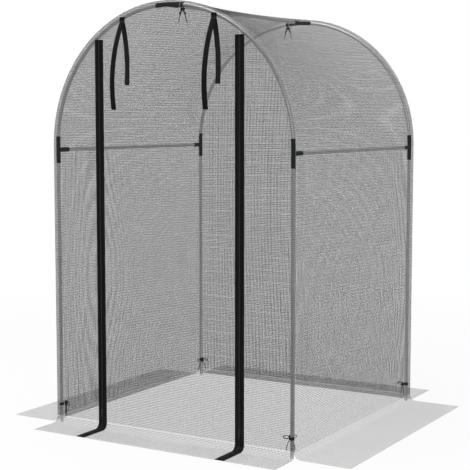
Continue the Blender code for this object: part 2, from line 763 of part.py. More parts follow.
def lace_run(name, points, plane_normal, material):
    """Round lace along a flat row of points."""
    rings = []
    for i, point in enumerate(points):
        before = points[max(i - 1, 0)]
        after = points[min(i + 1, len(points) - 1)]
        across = (after - before).normalized().cross(plane_normal)
        rings.append(ring(point, across, plane_normal, LACE_DIAMETER / 2, LACE_SIDES))
    return new_object(name, loft(rings), material, smooth=True)


def bow_loop(name, knot, direction, opening, length, width, material):
    """One loop of a bow: an oval that starts and ends inside the knot."""
    points = []
    for i in range(BOW_STEPS + 1):
        turn = BOW_OPEN_ANGLE + 2 * (math.pi - BOW_OPEN_ANGLE) * i / BOW_STEPS
        away = direction * (length * (1 - math.cos(turn)) / 2)
        points.append(knot + away + opening * (width * math.sin(turn) / 2))
    return lace_run(name, points, direction.cross(opening).normalized(), material)


def bow_tail(name, knot, sideward, material):
    """One hanging end of a bow, which drifts sideways as it falls."""
    points = []
    for i in range(TAIL_STEPS + 1):
        share = i / TAIL_STEPS
        drift = sideward * (TAIL_SPREAD * math.sin(share * math.pi / 2))
        points.append(knot + drift - UP * (TAIL_LENGTH * share))
    return lace_run(name, points, sideward.cross(UP).normalized(), material)


def tie(name, place, y, heading, sideward, bow, material):
    """Lace tied round a tube: the wrap, the knot, two bow loops and two tails as one piece."""
    length, width, tilt, opening = bow
    low = place - TIE_WRAP_WIDTH / 2
    high = place + TIE_WRAP_WIDTH / 2
    outer_radius = BORE_RADIUS + TIE_WRAP_THICKNESS
    outer = [hoop_ring(low, outer_radius, y), hoop_ring(high, outer_radius, y)]
    inner = [hoop_ring(high, BORE_RADIUS, y), hoop_ring(low, BORE_RADIUS, y)]
    wrap = new_object(name, loft(outer + inner, closed=True), material, smooth=True)

    centre = hoop_centre(place, y) + heading * (BORE_RADIUS + KNOT_RADIUS)
    ball = bmesh.new()
    place_ball = Matrix.Translation(centre)
    bmesh.ops.create_uvsphere(ball, u_segments=KNOT_SEGMENTS, v_segments=KNOT_RINGS, radius=KNOT_RADIUS,
                              matrix=place_ball)
    knot = new_object("knot", ball, material, smooth=True)
    pieces = [knot]
    for side in (-1, 1):
        direction = heading * math.cos(tilt) + sideward * (side * math.sin(tilt))
        across = opening or direction.cross(Vector((0, 1, 0)))
        pieces.append(bow_loop("loop", centre, direction, across, length, width, material))
        pieces.append(bow_tail("tail", centre, sideward * side, material))
    return combine(wrap, pieces, "UNION")


def build_ties():
    """Ties at the four feet and beside both apex tees."""
    black = lace()
    leg_bow = (LEG_BOW_LENGTH, LEG_BOW_WIDTH, LEG_BOW_TILT, UP)
    apex_bow = (APEX_BOW_LENGTH, APEX_BOW_WIDTH, APEX_BOW_TILT, None)
    beside_tee = SLEEVE_LENGTH / 2 + TIE_STANDOFF + TIE_WRAP_WIDTH / 2
    for row, side_y in FRONT_BACK:
        y = side_y * FRAME_Y
        for side, side_x in LEFT_RIGHT:
            place = TIE_HEIGHT if side == "left" else HOOP_LENGTH - TIE_HEIGHT
            heading = Vector((-side_x, -side_y, 0)).normalized()
            tie(f"tie_{row}_{side}", place, y, heading, heading.cross(UP), leg_bow, black)
        place = APEX_PLACE - side_y * beside_tee
        tie(f"tie_apex_{row}", place, y, -UP, Vector((1, 0, 0)), apex_bow, black)


def centre_foot():
    """Move the cage, built about its roof's middle, so that the middle of its foot lies on the origin."""
    for obj in bpy.data.objects:
        if obj.parent is None:
            obj.location.y += ROOF_MIDDLE_Y


def main():
    """Build the whole cage."""
    clear_scene()
    build_frame()
    net = netting()
    build_walls(net)
    build_front(net)
    build_skirts(net)
    pivot = build_door(net)
    build_zips(pivot)
    build_straps()
    build_ties()
    centre_foot()


if __name__ == "__main__":
    main()
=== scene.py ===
"""Looks of the fruit cage: its net cover, zips, straps, ties, tubes and connectors."""

import logging
import math
from collections.abc import Callable, Iterable, Sequence
from dataclasses import dataclass, field, replace
from enum import Enum

import bpy
import numpy as np
from mathutils import Matrix, Vector

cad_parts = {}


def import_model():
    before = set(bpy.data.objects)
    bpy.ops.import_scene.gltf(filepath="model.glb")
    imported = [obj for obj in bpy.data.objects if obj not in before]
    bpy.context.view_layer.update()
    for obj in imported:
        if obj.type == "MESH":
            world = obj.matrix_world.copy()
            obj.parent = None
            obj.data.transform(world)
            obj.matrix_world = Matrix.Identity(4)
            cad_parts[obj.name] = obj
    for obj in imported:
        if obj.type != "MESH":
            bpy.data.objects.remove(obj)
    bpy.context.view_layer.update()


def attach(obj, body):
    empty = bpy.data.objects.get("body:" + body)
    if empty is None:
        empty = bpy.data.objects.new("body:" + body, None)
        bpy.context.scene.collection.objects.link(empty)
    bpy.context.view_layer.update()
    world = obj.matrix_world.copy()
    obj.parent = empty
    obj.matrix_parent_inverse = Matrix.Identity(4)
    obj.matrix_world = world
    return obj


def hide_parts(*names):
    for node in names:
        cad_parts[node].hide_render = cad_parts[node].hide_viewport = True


LOG = logging.getLogger("fruit_cage")

Tone = tuple[float, float, float]
Place = tuple[float, float, float]
Span = tuple[float, float]
Piece = bpy.types.Object
Socket = bpy.types.NodeSocket
Surface = Callable[[np.ndarray, np.ndarray], tuple[np.ndarray, np.ndarray]]

QUARTER_TURN = math.pi / 2
FULL_TURN = 2 * math.pi
UP = Vector((0, 0, 1))
MERGE_GAP = 0.00002
LEAST_LENGTH = 1e-12
FACING = 0.9


class Named(Enum):
    """A choice whose name stands in the names of pieces."""

    @property
    def word(self) -> str:
        """The name as it stands in the names of pieces."""
        return self.name.lower()


class Side(Named):
    """Left or right of the cage, seen from its door."""

    LEFT = -1
    RIGHT = 1


class Row(Named):
    """The hoop at the door or the one at the back."""

    FRONT = -1
    BACK = 1


class Keeper(Enum):
    """Which part of the cover one half of a zip is sewn to."""

    FIXED = "zip"
    DOOR = "door"


@dataclass(frozen=True)
class CageSizes:
    """Sizes in metres that several pieces share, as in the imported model."""

    half_width: float = 0.600
    half_depth: float = 0.600
    leg_height: float = 1.271
    tee_height: float = 1.252
    tube_radius: float = 0.008
    tube_wall: float = 0.0008
    bore_radius: float = 0.0083
    net_inset: float = 0.01056
    cover_inset: float = 0.0165
    net_half: float = 0.0006
    foot_bend: float = 0.0306
    skirt_reach: float = 0.87116
    front_skirt_reach: float = 0.77716
    roof_middle_y: float = -0.047
    cover_end: float = 0.6104
    zip_x: float = 0.357
    zip_top: float = 1.7342
    door_top: float = 1.7345

    @property
    def net_radius(self) -> float:
        """Distance from the cage's middle to the net at the front and the back."""
        return self.half_width + self.net_inset

    @property
    def net_face(self) -> float:
        """Distance from the cage's middle to the outer face of that net."""
        return self.net_radius + self.net_half

    @property
    def cover_radius(self) -> float:
        """Distance from the roof's axis to the slack net of the roof and side walls."""
        return self.half_width + self.cover_inset

    @property
    def bend_height(self) -> float:
        """Height at which the net starts to bend out over the ground."""
        return self.net_half + self.foot_bend

    @property
    def wall_height(self) -> float:
        """Height of a side wall over that bend."""
        return self.leg_height - self.bend_height

    @property
    def ridge_height(self) -> float:
        """Height of the ridge tube's axis."""
        return self.leg_height + self.half_width


SIZES = CageSizes()
TO_ORIGIN = Vector((0, SIZES.roof_middle_y, 0))


# Modelling operators


def leave_edit() -> None:
    """Go back to object mode."""
    bpy.ops.object.mode_set(mode="OBJECT")


def clear_selection() -> None:
    """Leave edit mode and deselect every object."""
    if bpy.context.object is not None and bpy.context.object.mode != "OBJECT":
        leave_edit()
    bpy.ops.object.select_all(action="DESELECT")


def pick(piece: Piece) -> None:
    """Make one piece the only selected one and the active one.

    Args:
        piece: The piece to pick.
    """
    clear_selection()
    piece.select_set(True)
    bpy.context.view_layer.objects.active = piece


def edit_all(piece: Piece) -> None:
    """Enter edit mode with all of a piece selected.

    Args:
        piece: The mesh to edit.
    """
    pick(piece)
    bpy.ops.object.mode_set(mode="EDIT")
    bpy.ops.mesh.select_all(action="SELECT")


def edit_where(piece: Piece, wanted: Callable[[object], bool], edges: bool = False) -> None:
    """Enter edit mode with only the wanted faces or edges selected.

    Args:
        piece: The mesh to select on.
        wanted: Says of a face or an edge whether it is wanted.
        edges: Whether edges are selected, and not faces.
    """
    edit_all(piece)
    bpy.ops.mesh.select_mode(type="EDGE" if edges else "FACE")
    bpy.ops.mesh.select_all(action="DESELECT")
    leave_edit()
    for part in piece.data.edges if edges else piece.data.polygons:
        part.select = wanted(part)
    bpy.ops.object.mode_set(mode="EDIT")


def faces_front(face: bpy.types.MeshPolygon) -> bool:
    """Whether a face looks out to the front."""
    return face.normal.y < -FACING


def start_from(name: str, add: Callable[..., object], **settings: object) -> Piece:
    """Add a primitive, name it and put its place, turn and scale into its mesh.

    Args:
        name: Name of the new piece and of its mesh.
        add: The operator that adds the primitive.
        **settings: The operator's own settings.

    Returns:
        The new object.
    """
    clear_selection()
    add(**settings)
    piece = bpy.context.object
    piece.name = piece.data.name = name
    pick(piece)
    bpy.ops.object.transform_apply(location=True, rotation=True, scale=True)
    return piece


def start_block(name: str, middle: Sequence[float], extent: Place) -> Piece:
    """Start a piece from a block of this extent about its middle."""
    return start_from(
        name, bpy.ops.mesh.primitive_cube_add, size=1.0, location=middle, scale=extent,
    )


def start_bar(
    name: str, sides: int, radius: float, end: Vector, way: Vector, closed: bool = True,
) -> Piece:
    """Start a bar or a tube from its first end, left selected in edit mode.

    Args:
        name: Name of the piece.
        sides: Number of the bar's sides.
        radius: Its radius.
        end: Middle of its first end.
        way: Way in which it will grow.
        closed: Whether its first end is closed.

    Returns:
        The new object.
    """
    piece = start_from(
        name, bpy.ops.mesh.primitive_circle_add, vertices=sides, radius=radius, location=end,
        fill_type="NGON" if closed else "NOTHING", rotation=way.to_track_quat("Z", "Y").to_euler(),
    )
    edit_all(piece)
    return piece


def extrude(move: Sequence[float]) -> None:
    """Extrude what is selected."""
    bpy.ops.mesh.extrude_region_move(TRANSFORM_OT_translate={"value": tuple(move)})


def resize(factors: Sequence[float], centre: Sequence[float]) -> None:
    """Scale what is selected about a point."""
    bpy.ops.transform.resize(value=tuple(factors), center_override=tuple(centre))


def apply_modifier(piece: Piece, kind: str, **settings: object) -> None:
    """Add a modifier to a piece and apply it.

    Args:
        piece: The piece to change.
        kind: The modifier's type.
        **settings: The modifier's own settings.
    """
    pick(piece)
    modifier = piece.modifiers.new(kind.lower(), kind)
    for name, value in settings.items():
        setattr(modifier, name, value)
    bpy.ops.object.modifier_apply(modifier=modifier.name)


def round_edges(piece: Piece, width: float, segments: int = 2, least: float = 30.0) -> None:
    """Bevel a piece's sharp edges.

    Args:
        piece: The piece to change.
        width: Width of the bevel.
        segments: Number of its segments.
        least: Angle in degrees by which an edge must turn.
    """
    apply_modifier(
        piece, "BEVEL", width=width, segments=segments, limit_method="ANGLE",
        angle_limit=math.radians(least),
    )


def join_solid(piece: Piece, other: Piece, cut: bool = False) -> None:
    """Unite another solid with a piece, or cut it away, and remove the other.

    Args:
        piece: The solid that stays.
        other: The solid that is used up.
        cut: Whether the other is cut away.
    """
    operation = "DIFFERENCE" if cut else "UNION"
    apply_modifier(piece, "BOOLEAN", operation=operation, solver="EXACT", object=other)
    bpy.data.objects.remove(other, do_unlink=True)


def join_pieces(first: Piece, *others: Piece) -> Piece:
    """Join meshes into one.

    Args:
        first: The mesh that stays.
        *others: The meshes that become part of it.

    Returns:
        The first mesh.
    """
    pick(first)
    for piece in others:
        piece.select_set(True)
    bpy.ops.object.join()
    return first


def tidy_mesh(piece: Piece, smooth_below: float = 35.0) -> None:
    """Merge doubles, turn the faces outwards and smooth the shallow edges.

    Args:
        piece: The mesh to tidy.
        smooth_below: Angle in degrees under which an edge is smooth.
    """
    edit_all(piece)
    bpy.ops.mesh.remove_doubles(threshold=MERGE_GAP)
    bpy.ops.mesh.normals_make_consistent(inside=False)
    leave_edit()
    bpy.ops.object.shade_smooth_by_angle(angle=math.radians(smooth_below))


def mesh_piece(
    name: str, points: np.ndarray, faces: np.ndarray, uv: np.ndarray | None = None,
) -> Piece:
    """Make an object from points and faces of four corners.

    Args:
        name: Name of the object and its mesh.
        points: Corner places, one row each.
        faces: Corner numbers, one row of four for each face.
        uv: Places on the cloth in metres, one row for each corner of each face.

    Returns:
        The new object, linked to the scene.
    """
    mesh = bpy.data.meshes.new(name)
    mesh.vertices.add(len(points))
    mesh.vertices.foreach_set("co", np.asarray(points, np.float32).ravel())
    mesh.loops.add(faces.size)
    mesh.loops.foreach_set("vertex_index", np.asarray(faces, np.int32).ravel())
    mesh.polygons.add(len(faces))
    starts = np.arange(0, faces.size, faces.shape[1], dtype=np.int32)
    mesh.polygons.foreach_set("loop_start", starts)
    mesh.update(calc_edges=True)
    if uv is not None:
        layer = mesh.uv_layers.new(name="cloth")
        layer.uv.foreach_set("vector", np.asarray(uv, np.float32).ravel())
    mesh.validate()
    piece = bpy.data.objects.new(name, mesh)
    bpy.context.scene.collection.objects.link(piece)
    return piece


def finish_piece(
    piece: Piece, body: str, material: bpy.types.Material, replaced: Iterable[str] = (),
) -> None:
    """Dress a finished piece, put it on its body and hide what it stands for.

    Args:
        piece: The finished piece, built about the roof's middle.
        body: CAD body that it moves with.
        material: Its material.
        replaced: CAD nodes that it stands for.
    """
    piece.data.transform(Matrix.Translation(TO_ORIGIN))
    piece.data.materials.clear()
    piece.data.materials.append(material)
    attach(piece, body)
    nodes = list(replaced)
    if nodes:
        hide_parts(*nodes)
    LOG.info("%s: %d faces on %s", piece.name, len(piece.data.polygons), body)


# Swept cross-sections


def unit(rows: np.ndarray) -> np.ndarray:
    """Scale each row to length one."""
    return rows / np.maximum(np.linalg.norm(rows, axis=1, keepdims=True), LEAST_LENGTH)


def tangents_of(centres: np.ndarray) -> np.ndarray:
    """Unit vectors along a row of points."""
    return unit(np.gradient(centres, axis=0))


def travelled(steps: np.ndarray) -> np.ndarray:
    """Distance travelled before the first step and after each one."""
    return np.concatenate([[0.0], np.cumsum(np.linalg.norm(steps, axis=1))])


def across_path(centres: np.ndarray, normals: np.ndarray) -> np.ndarray:
    """Unit vectors square to a row of points and to its normals."""
    return unit(np.cross(normals, tangents_of(centres)))


class Sweep:
    """Collects swept cross-sections and makes one mesh of them."""

    def __init__(self) -> None:
        """Start with nothing swept."""
        self.points: list[np.ndarray] = []
        self.faces: list[np.ndarray] = []
        self.uv: list[np.ndarray] = []
        self.count = 0

    def add(
        self, centres: np.ndarray, across: np.ndarray, normals: np.ndarray, outline: np.ndarray,
    ) -> "Sweep":
        """Sweep one closed outline along a row of centres.

        Args:
            centres: Points along the way.
            across: Unit vectors of the outline's first axis.
            normals: Unit vectors of the outline's second axis.
            outline: Corners of the outline, anticlockwise, in metres.

        Returns:
            This sweep.
        """
        stations, corners = len(centres), len(outline)
        rings = (
            centres[:, None, :]
            + across[:, None, :] * outline[None, :, :1]
            + normals[:, None, :] * outline[None, :, 1:]
        )
        index = self.count + np.arange(stations * corners).reshape(stations, corners)
        low, high = index[:-1], index[1:]
        turned = np.roll(np.arange(corners), -1)
        sides = np.stack([low, low[:, turned], high[:, turned], high], axis=2).reshape(-1, 4)
        girth = travelled(outline[turned] - outline)
        along = travelled(np.diff(centres, axis=0))[:, None]
        grid = (stations - 1, corners)
        u_low, u_high, v_low, v_high = (
            np.broadcast_to(part, grid) for part in (girth[:-1], girth[1:], along[:-1], along[1:])
        )
        places = np.stack([u_low, v_low, u_high, v_low, u_high, v_high, u_low, v_high], axis=2)
        self.points.append(rings.reshape(-1, 3))
        self.faces.append(sides)
        self.uv.append(places.reshape(-1, 2))
        self.cap(index[0][::-1])
        self.cap(index[-1])
        self.count += stations * corners
        return self

    def cap(self, row: np.ndarray) -> None:
        """Close one end with quads between opposite corners of an even outline.

        Args:
            row: Numbers of the end's corners.
        """
        last = len(row) - 1
        pairs = range(len(row) // 2 - 1)
        quads = [[row[i], row[i + 1], row[last - 1 - i], row[last - i]] for i in pairs]
        self.faces.append(np.array(quads))
        self.uv.append(np.zeros((len(quads) * 4, 2)))

    def piece(self, name: str) -> Piece:
        """Make the object from all that was swept."""
        points, faces, uv = map(np.concatenate, (self.points, self.faces, self.uv))
        return mesh_piece(name, points, faces, uv)


def round_outline(radius: float, sides: int, squash: float = 1.0) -> np.ndarray:
    """Outline of a round or flattened cord."""
    angles = np.arange(sides) * FULL_TURN / sides
    return np.stack([radius * np.cos(angles), radius * squash * np.sin(angles)], axis=1)


def carried_frame(centres: np.ndarray, first_normal: Sequence[float]) -> tuple[np.ndarray, ...]:
    """Turn a cross-section along a free path without twisting it.

    Args:
        centres: Points along the way.
        first_normal: Rough direction of the outline's second axis at the start.

    Returns:
        Unit vectors of the outline's first and second axis at each point.
    """
    normal = np.array(first_normal, float)
    across, normals = [], []
    for tangent in tangents_of(centres):
        normal = normal - tangent * float(normal @ tangent)
        normal = normal / np.linalg.norm(normal)
        across.append(np.cross(normal, tangent))
        normals.append(normal)
    return np.array(across), np.array(normals)


# Shader building


class Nodes:
    """Short calls that add and join shader nodes in one tree."""

    def __init__(self, tree: bpy.types.NodeTree) -> None:
        """Work on a tree."""
        self.tree = tree

    def add(self, kind: str, **settings: object) -> bpy.types.Node:
        """Add a node and set its properties.

        Args:
            kind: The node's type.
            **settings: Properties of the node.

        Returns:
            The new node.
        """
        node = self.tree.nodes.new(kind)
        for name, value in settings.items():
            setattr(node, name, value)
        return node

    def feed(self, socket: Socket, value: object) -> None:
        """Link an output to a socket, or set the socket's own value.

        Args:
            socket: The socket.
            value: An output, a plain value, or None to leave the socket as it is.
        """
        if isinstance(value, Socket):
            self.tree.links.new(value, socket)
        elif value is not None:
            socket.default_value = value

    def maths(self, operation: str, *values: object) -> Socket:
        """Join values with a Math node.

        Args:
            operation: The node's operation.
            *values: Up to three values or outputs.

        Returns:
            The node's output.
        """
        node = self.add("ShaderNodeMath", operation=operation)
        for socket, value in zip(node.inputs, values):
            self.feed(socket, value)
        return node.outputs[0]

    def noise(
        self, vector: object, scale: object, detail: float = 3.0, roughness: float = 0.5,
    ) -> Socket:
        """Noise from 0 to 1.

        Args:
            vector: Place to read it at.
            scale: How fine it is.
            detail: Number of finer layers.
            roughness: Weight of the finer layers.

        Returns:
            The noise output.
        """
        node = self.add("ShaderNodeTexNoise")
        given = {"Vector": vector, "Scale": scale, "Detail": detail, "Roughness": roughness}
        for name, value in given.items():
            self.feed(node.inputs[name], value)
        return node.outputs["Fac"]

    def spread(
        self, value: object, taken: Sequence[object], result: Sequence[object] = (0.0, 1.0),
    ) -> Socket:
        """Map a range of values to another and hold it there.

        Args:
            value: The value or output to map.
            taken: Lower and upper end of its range.
            result: What the two ends become.

        Returns:
            The mapped output.
        """
        node = self.add("ShaderNodeMapRange")
        names = ("Value", "From Min", "From Max", "To Min", "To Max")
        for name, given in zip(names, (value, *taken, *result)):
            self.feed(node.inputs[name], given)
        return node.outputs["Result"]

    def mix_colour(self, factor: object, first: object, second: object) -> Socket:
        """Mix two colours.

        Args:
            factor: Share of the second colour.
            first: First colour.
            second: Second colour.

        Returns:
            The mixed colour.
        """
        node = self.add("ShaderNodeMix", data_type="RGBA")
        colours = [socket for socket in node.inputs if socket.type == "RGBA"]
        for socket, value in zip((node.inputs[0], *colours), (factor, first, second)):
            self.feed(socket, value)
        return next(socket for socket in node.outputs if socket.type == "RGBA")

    def parts(self, vector: object) -> bpy.types.NodeOutputs:
        """Split a vector.

        Args:
            vector: The output to split.

        Returns:
            Its X, Y and Z outputs.
        """
        node = self.add("ShaderNodeSeparateXYZ")
        self.feed(node.inputs[0], vector)
        return node.outputs


def colour(tone: Tone) -> tuple[float, float, float, float]:
    """A colour with full alpha."""
    return (*tone, 1.0)


class Kind(Enum):
    """Kinds of socket that the node groups have."""

    VALUE = "NodeSocketFloat"
    PLACE = "NodeSocketVector"
    COLOUR = "NodeSocketColor"


class GroupNodes(Nodes):
    """A shader node group in the making, with its named inputs and outputs."""

    def __init__(self, name: str, inputs: dict[str, object], outputs: dict[str, Kind]) -> None:
        """Start the group with its sockets.

        Args:
            name: The group's name.
            inputs: Each input's default: a number, a vector of three or a colour of four.
            outputs: Each output's kind.
        """
        super().__init__(bpy.data.node_groups.new(name, "ShaderNodeTree"))
        add_socket = self.tree.interface.new_socket
        for label, default in inputs.items():
            size = len(default) if isinstance(default, tuple) else 1
            kind = {1: Kind.VALUE, 3: Kind.PLACE, 4: Kind.COLOUR}[size]
            socket = add_socket(name=label, in_out="INPUT", socket_type=kind.value)
            socket.default_value = default
        for label, kind in outputs.items():
            add_socket(name=label, in_out="OUTPUT", socket_type=kind.value)
        self.given = self.add("NodeGroupInput").outputs
        self.result = self.add("NodeGroupOutput").inputs


@dataclass
class ShadeGroups:
    """Node groups that more than one material uses, each built once."""

    patch_detail: float = 4.0
    patch_roughness: float = 0.6
    patch_range: Span = (0.3, 0.7)
    speckle_scale: float = 60.0
    speckle_range: Span = (0.4, 0.65)
    speckle_share: Span = (0.2, 1.0)
    # Weave heights over which the painted shade in the hollows fades out.
    hollow_range: Span = (0.15, 0.5)
    scuff_detail: float = 5.0
    scuff_roughness: float = 0.65
    scuff_range: Span = (0.52, 0.72)
    grain_scale: float = 22.0
    grain_detail: float = 2.0

    def __post_init__(self) -> None:
        """Build the groups."""
        self.tone = self._build_tone()
        self.weave = self._build_weave()
        self.wear = self._build_wear()

    def _build_tone(self) -> bpy.types.NodeTree:
        """Colour that drifts between two tones, with dust that gathers near the ground.

        Returns:
            The group's tree.
        """
        nodes = GroupNodes(
            "Cloth tone",
            {
                "Vector": (0.0, 0.0, 0.0), "Dark": colour((0.1, 0.1, 0.1)),
                "Light": colour((0.2, 0.2, 0.2)), "Dust": colour((0.3, 0.28, 0.25)),
                "Scale": 6.0, "Dust height": 0.25, "Dust amount": 0.15,
            },
            {"Colour": Kind.COLOUR, "Patches": Kind.VALUE},
        )
        given, result = nodes.given, nodes.result
        drift = nodes.noise(
            given["Vector"], given["Scale"], self.patch_detail, self.patch_roughness,
        )
        patches = nodes.spread(drift, self.patch_range)
        tone = nodes.mix_colour(patches, given["Dark"], given["Light"])
        height = nodes.parts(given["Vector"])["Z"]
        low = nodes.spread(height, (0.0, given["Dust height"]), (1.0, 0.0))
        fine = nodes.noise(given["Vector"], self.speckle_scale)
        speckle = nodes.spread(fine, self.speckle_range, self.speckle_share)
        share = nodes.maths("MULTIPLY", nodes.maths("MULTIPLY", low, speckle), given["Dust amount"])
        nodes.feed(result["Colour"], nodes.mix_colour(share, tone, given["Dust"]))
        nodes.feed(result["Patches"], patches)
        return nodes.tree

    def _build_weave(self) -> bpy.types.NodeTree:
        """Woven relief from a place on the cloth in metres, with a mask of its hollows for painted
        shade.

        Returns:
            The group's tree.
        """
        nodes = GroupNodes(
            "Woven relief",
            {
                "Vector": (0.0, 0.0, 0.0), "Across pitch": 0.0012, "Along pitch": 0.0012,
                "Slant": 0.0,
            },
            {"Height": Kind.VALUE, "Hollow": Kind.VALUE},
        )
        given, result = nodes.given, nodes.result
        place = nodes.parts(given["Vector"])
        across = nodes.maths("DIVIDE", place["X"], given["Across pitch"])
        along = nodes.maths("DIVIDE", place["Y"], given["Along pitch"])
        lean = nodes.maths("MULTIPLY", across, given["Slant"])
        first, second = (
            nodes.maths("SINE", nodes.maths("MULTIPLY", nodes.maths(*terms), FULL_TURN))
            for terms in (("ADD", along, lean), ("SUBTRACT", across, lean))
        )
        height = nodes.maths("MULTIPLY_ADD", nodes.maths("MULTIPLY", first, second), 0.5, 0.5)
        nodes.feed(result["Height"], height)
        nodes.feed(result["Hollow"], nodes.spread(height, self.hollow_range, (1.0, 0.0)))
        return nodes.tree

    def _build_wear(self) -> bpy.types.NodeTree:
        """Fine scratches and scuffs on a hard surface.

        Returns:
            The group's tree.
        """
        nodes = GroupNodes(
            "Surface wear",
            {
                "Vector": (0.0, 0.0, 0.0), "Stretch": (1.0, 1.0, 1.0), "Scale": 40.0,
                "Amount": 0.3,
            },
            {"Scuff": Kind.VALUE, "Grain": Kind.VALUE},
        )
        given, result = nodes.given, nodes.result
        stretched = nodes.add("ShaderNodeVectorMath", operation="MULTIPLY")
        nodes.feed(stretched.inputs[0], given["Vector"])
        nodes.feed(stretched.inputs[1], given["Stretch"])
        broad = nodes.noise(
            stretched.outputs[0], given["Scale"], self.scuff_detail, self.scuff_roughness,
        )
        scuff = nodes.maths("MULTIPLY", nodes.spread(broad, self.scuff_range), given["Amount"])
        fine = nodes.maths("MULTIPLY", given["Scale"], self.grain_scale)
        nodes.feed(result["Scuff"], scuff)
        nodes.feed(result["Grain"], nodes.noise(given["Vector"], fine, self.grain_detail))
        return nodes.tree


class Finish:
    """One material and the helper that builds its nodes."""

    def __init__(self, name: str) -> None:
        """Start a material with its Principled shader.

        Args:
            name: The material's name.
        """
        self.material = bpy.data.materials.new(name)
        self.material.use_nodes = True
        self.nodes = Nodes(self.material.node_tree)
        self.shader = self.material.node_tree.nodes["Principled BSDF"]
        self.place = self.nodes.add("ShaderNodeTexCoord").outputs

    def set(self, socket: str, value: object) -> None:
        """Set or link one of the shader's sockets."""
        self.nodes.feed(self.shader.inputs[socket], value)

    def group(self, tree: bpy.types.NodeTree, **values: object) -> bpy.types.NodeOutputs:
        """Place a shared group and give it this material's values.

        Args:
            tree: The group to place.
            **values: Its inputs, with underscores for spaces.

        Returns:
            The group's outputs.
        """
        node = self.nodes.add("ShaderNodeGroup", node_tree=tree)
        for name, value in values.items():
            self.nodes.feed(node.inputs[name.replace("_", " ").capitalize()], value)
        return node.outputs

    def relief(self, height: Socket, distance: float) -> None:
        """Raise the surface.

        Args:
            height: Height from 0 to 1.
            distance: What a height of 1 stands for.
        """
        bump = self.nodes.add("ShaderNodeBump")
        bump.inputs["Distance"].default_value = distance
        self.nodes.feed(bump.inputs["Height"], height)
        self.set("Normal", bump.outputs["Normal"])


@dataclass(frozen=True)
class ClothFinish:
    """Woven or knitted cloth in two tones, dust near the ground and painted shade in the hollows.
    """

    name: str
    dark: Tone
    light: Tone
    across_pitch: float
    along_pitch: float
    slant: float = 0.0
    relief: float = 0.0003
    roughness: float = 0.85
    roughness_drift: float = 0.06
    specular: float = 0.15
    tone_scale: float = 6.0
    # Colour and share of the painted shade that darkens the weave's hollows.
    hollow_tone: Tone = (0.004, 0.004, 0.004)
    hollow_share: float = 0.45
    dust: Tone = (0.30, 0.28, 0.25)
    dust_height: float = 0.20
    dust_amount: float = 0.10

    def build(self, groups: ShadeGroups) -> bpy.types.Material:
        """Make the material.

        Args:
            groups: The shared node groups.

        Returns:
            The finished material.
        """
        finish = Finish(self.name)
        nodes = finish.nodes
        tone = finish.group(
            groups.tone, vector=finish.place["Object"], dark=colour(self.dark),
            light=colour(self.light), dust=colour(self.dust), scale=self.tone_scale,
            dust_height=self.dust_height, dust_amount=self.dust_amount,
        )
        weave = finish.group(
            groups.weave, vector=finish.place["UV"], across_pitch=self.across_pitch,
            along_pitch=self.along_pitch, slant=self.slant,
        )
        # Darken the weave's hollows towards near black: painted shade.
        hollow = nodes.maths("MULTIPLY", weave["Hollow"], self.hollow_share)
        rough = (self.roughness - self.roughness_drift, self.roughness + self.roughness_drift)
        shade = nodes.mix_colour(hollow, tone["Colour"], colour(self.hollow_tone))
        finish.set("Base Color", shade)
        finish.set("Roughness", nodes.spread(tone["Patches"], (0.0, 1.0), rough))
        finish.set("Specular IOR Level", self.specular)
        finish.relief(weave["Height"], self.relief)
        return finish.material


@dataclass(frozen=True)
class HardFinish:
    """Moulded plastic, painted metal or drawn tube, with grain and scuffs."""

    name: str
    base: Tone
    worn: Tone
    roughness: float
    grain_roughness: float = 0.16
    scuff_roughness: float = 0.2
    metallic: float = 0.0
    specular: float = 0.3
    scuff_scale: float = 45.0
    scuff_stretch: Place = (1.0, 1.0, 1.0)
    scuff_amount: float = 0.3
    grain: float = 0.00005

    def build(self, groups: ShadeGroups) -> bpy.types.Material:
        """Make the material.

        Args:
            groups: The shared node groups.

        Returns:
            The finished material.
        """
        finish = Finish(self.name)
        nodes = finish.nodes
        wear = finish.group(
            groups.wear, vector=finish.place["Object"], stretch=self.scuff_stretch,
            scale=self.scuff_scale, amount=self.scuff_amount,
        )
        shade = nodes.mix_colour(wear["Scuff"], colour(self.base), colour(self.worn))
        least = self.roughness - self.grain_roughness / 2
        rough = nodes.maths("MULTIPLY_ADD", wear["Grain"], self.grain_roughness, least)
        scuffed = nodes.maths("MULTIPLY", wear["Scuff"], self.scuff_roughness)
        finish.set("Base Color", shade)
        finish.set("Roughness", nodes.maths("ADD", rough, scuffed))
        finish.set("Metallic", self.metallic)
        finish.set("Specular IOR Level", self.specular)
        finish.relief(wear["Grain"], self.grain)
        return finish.material


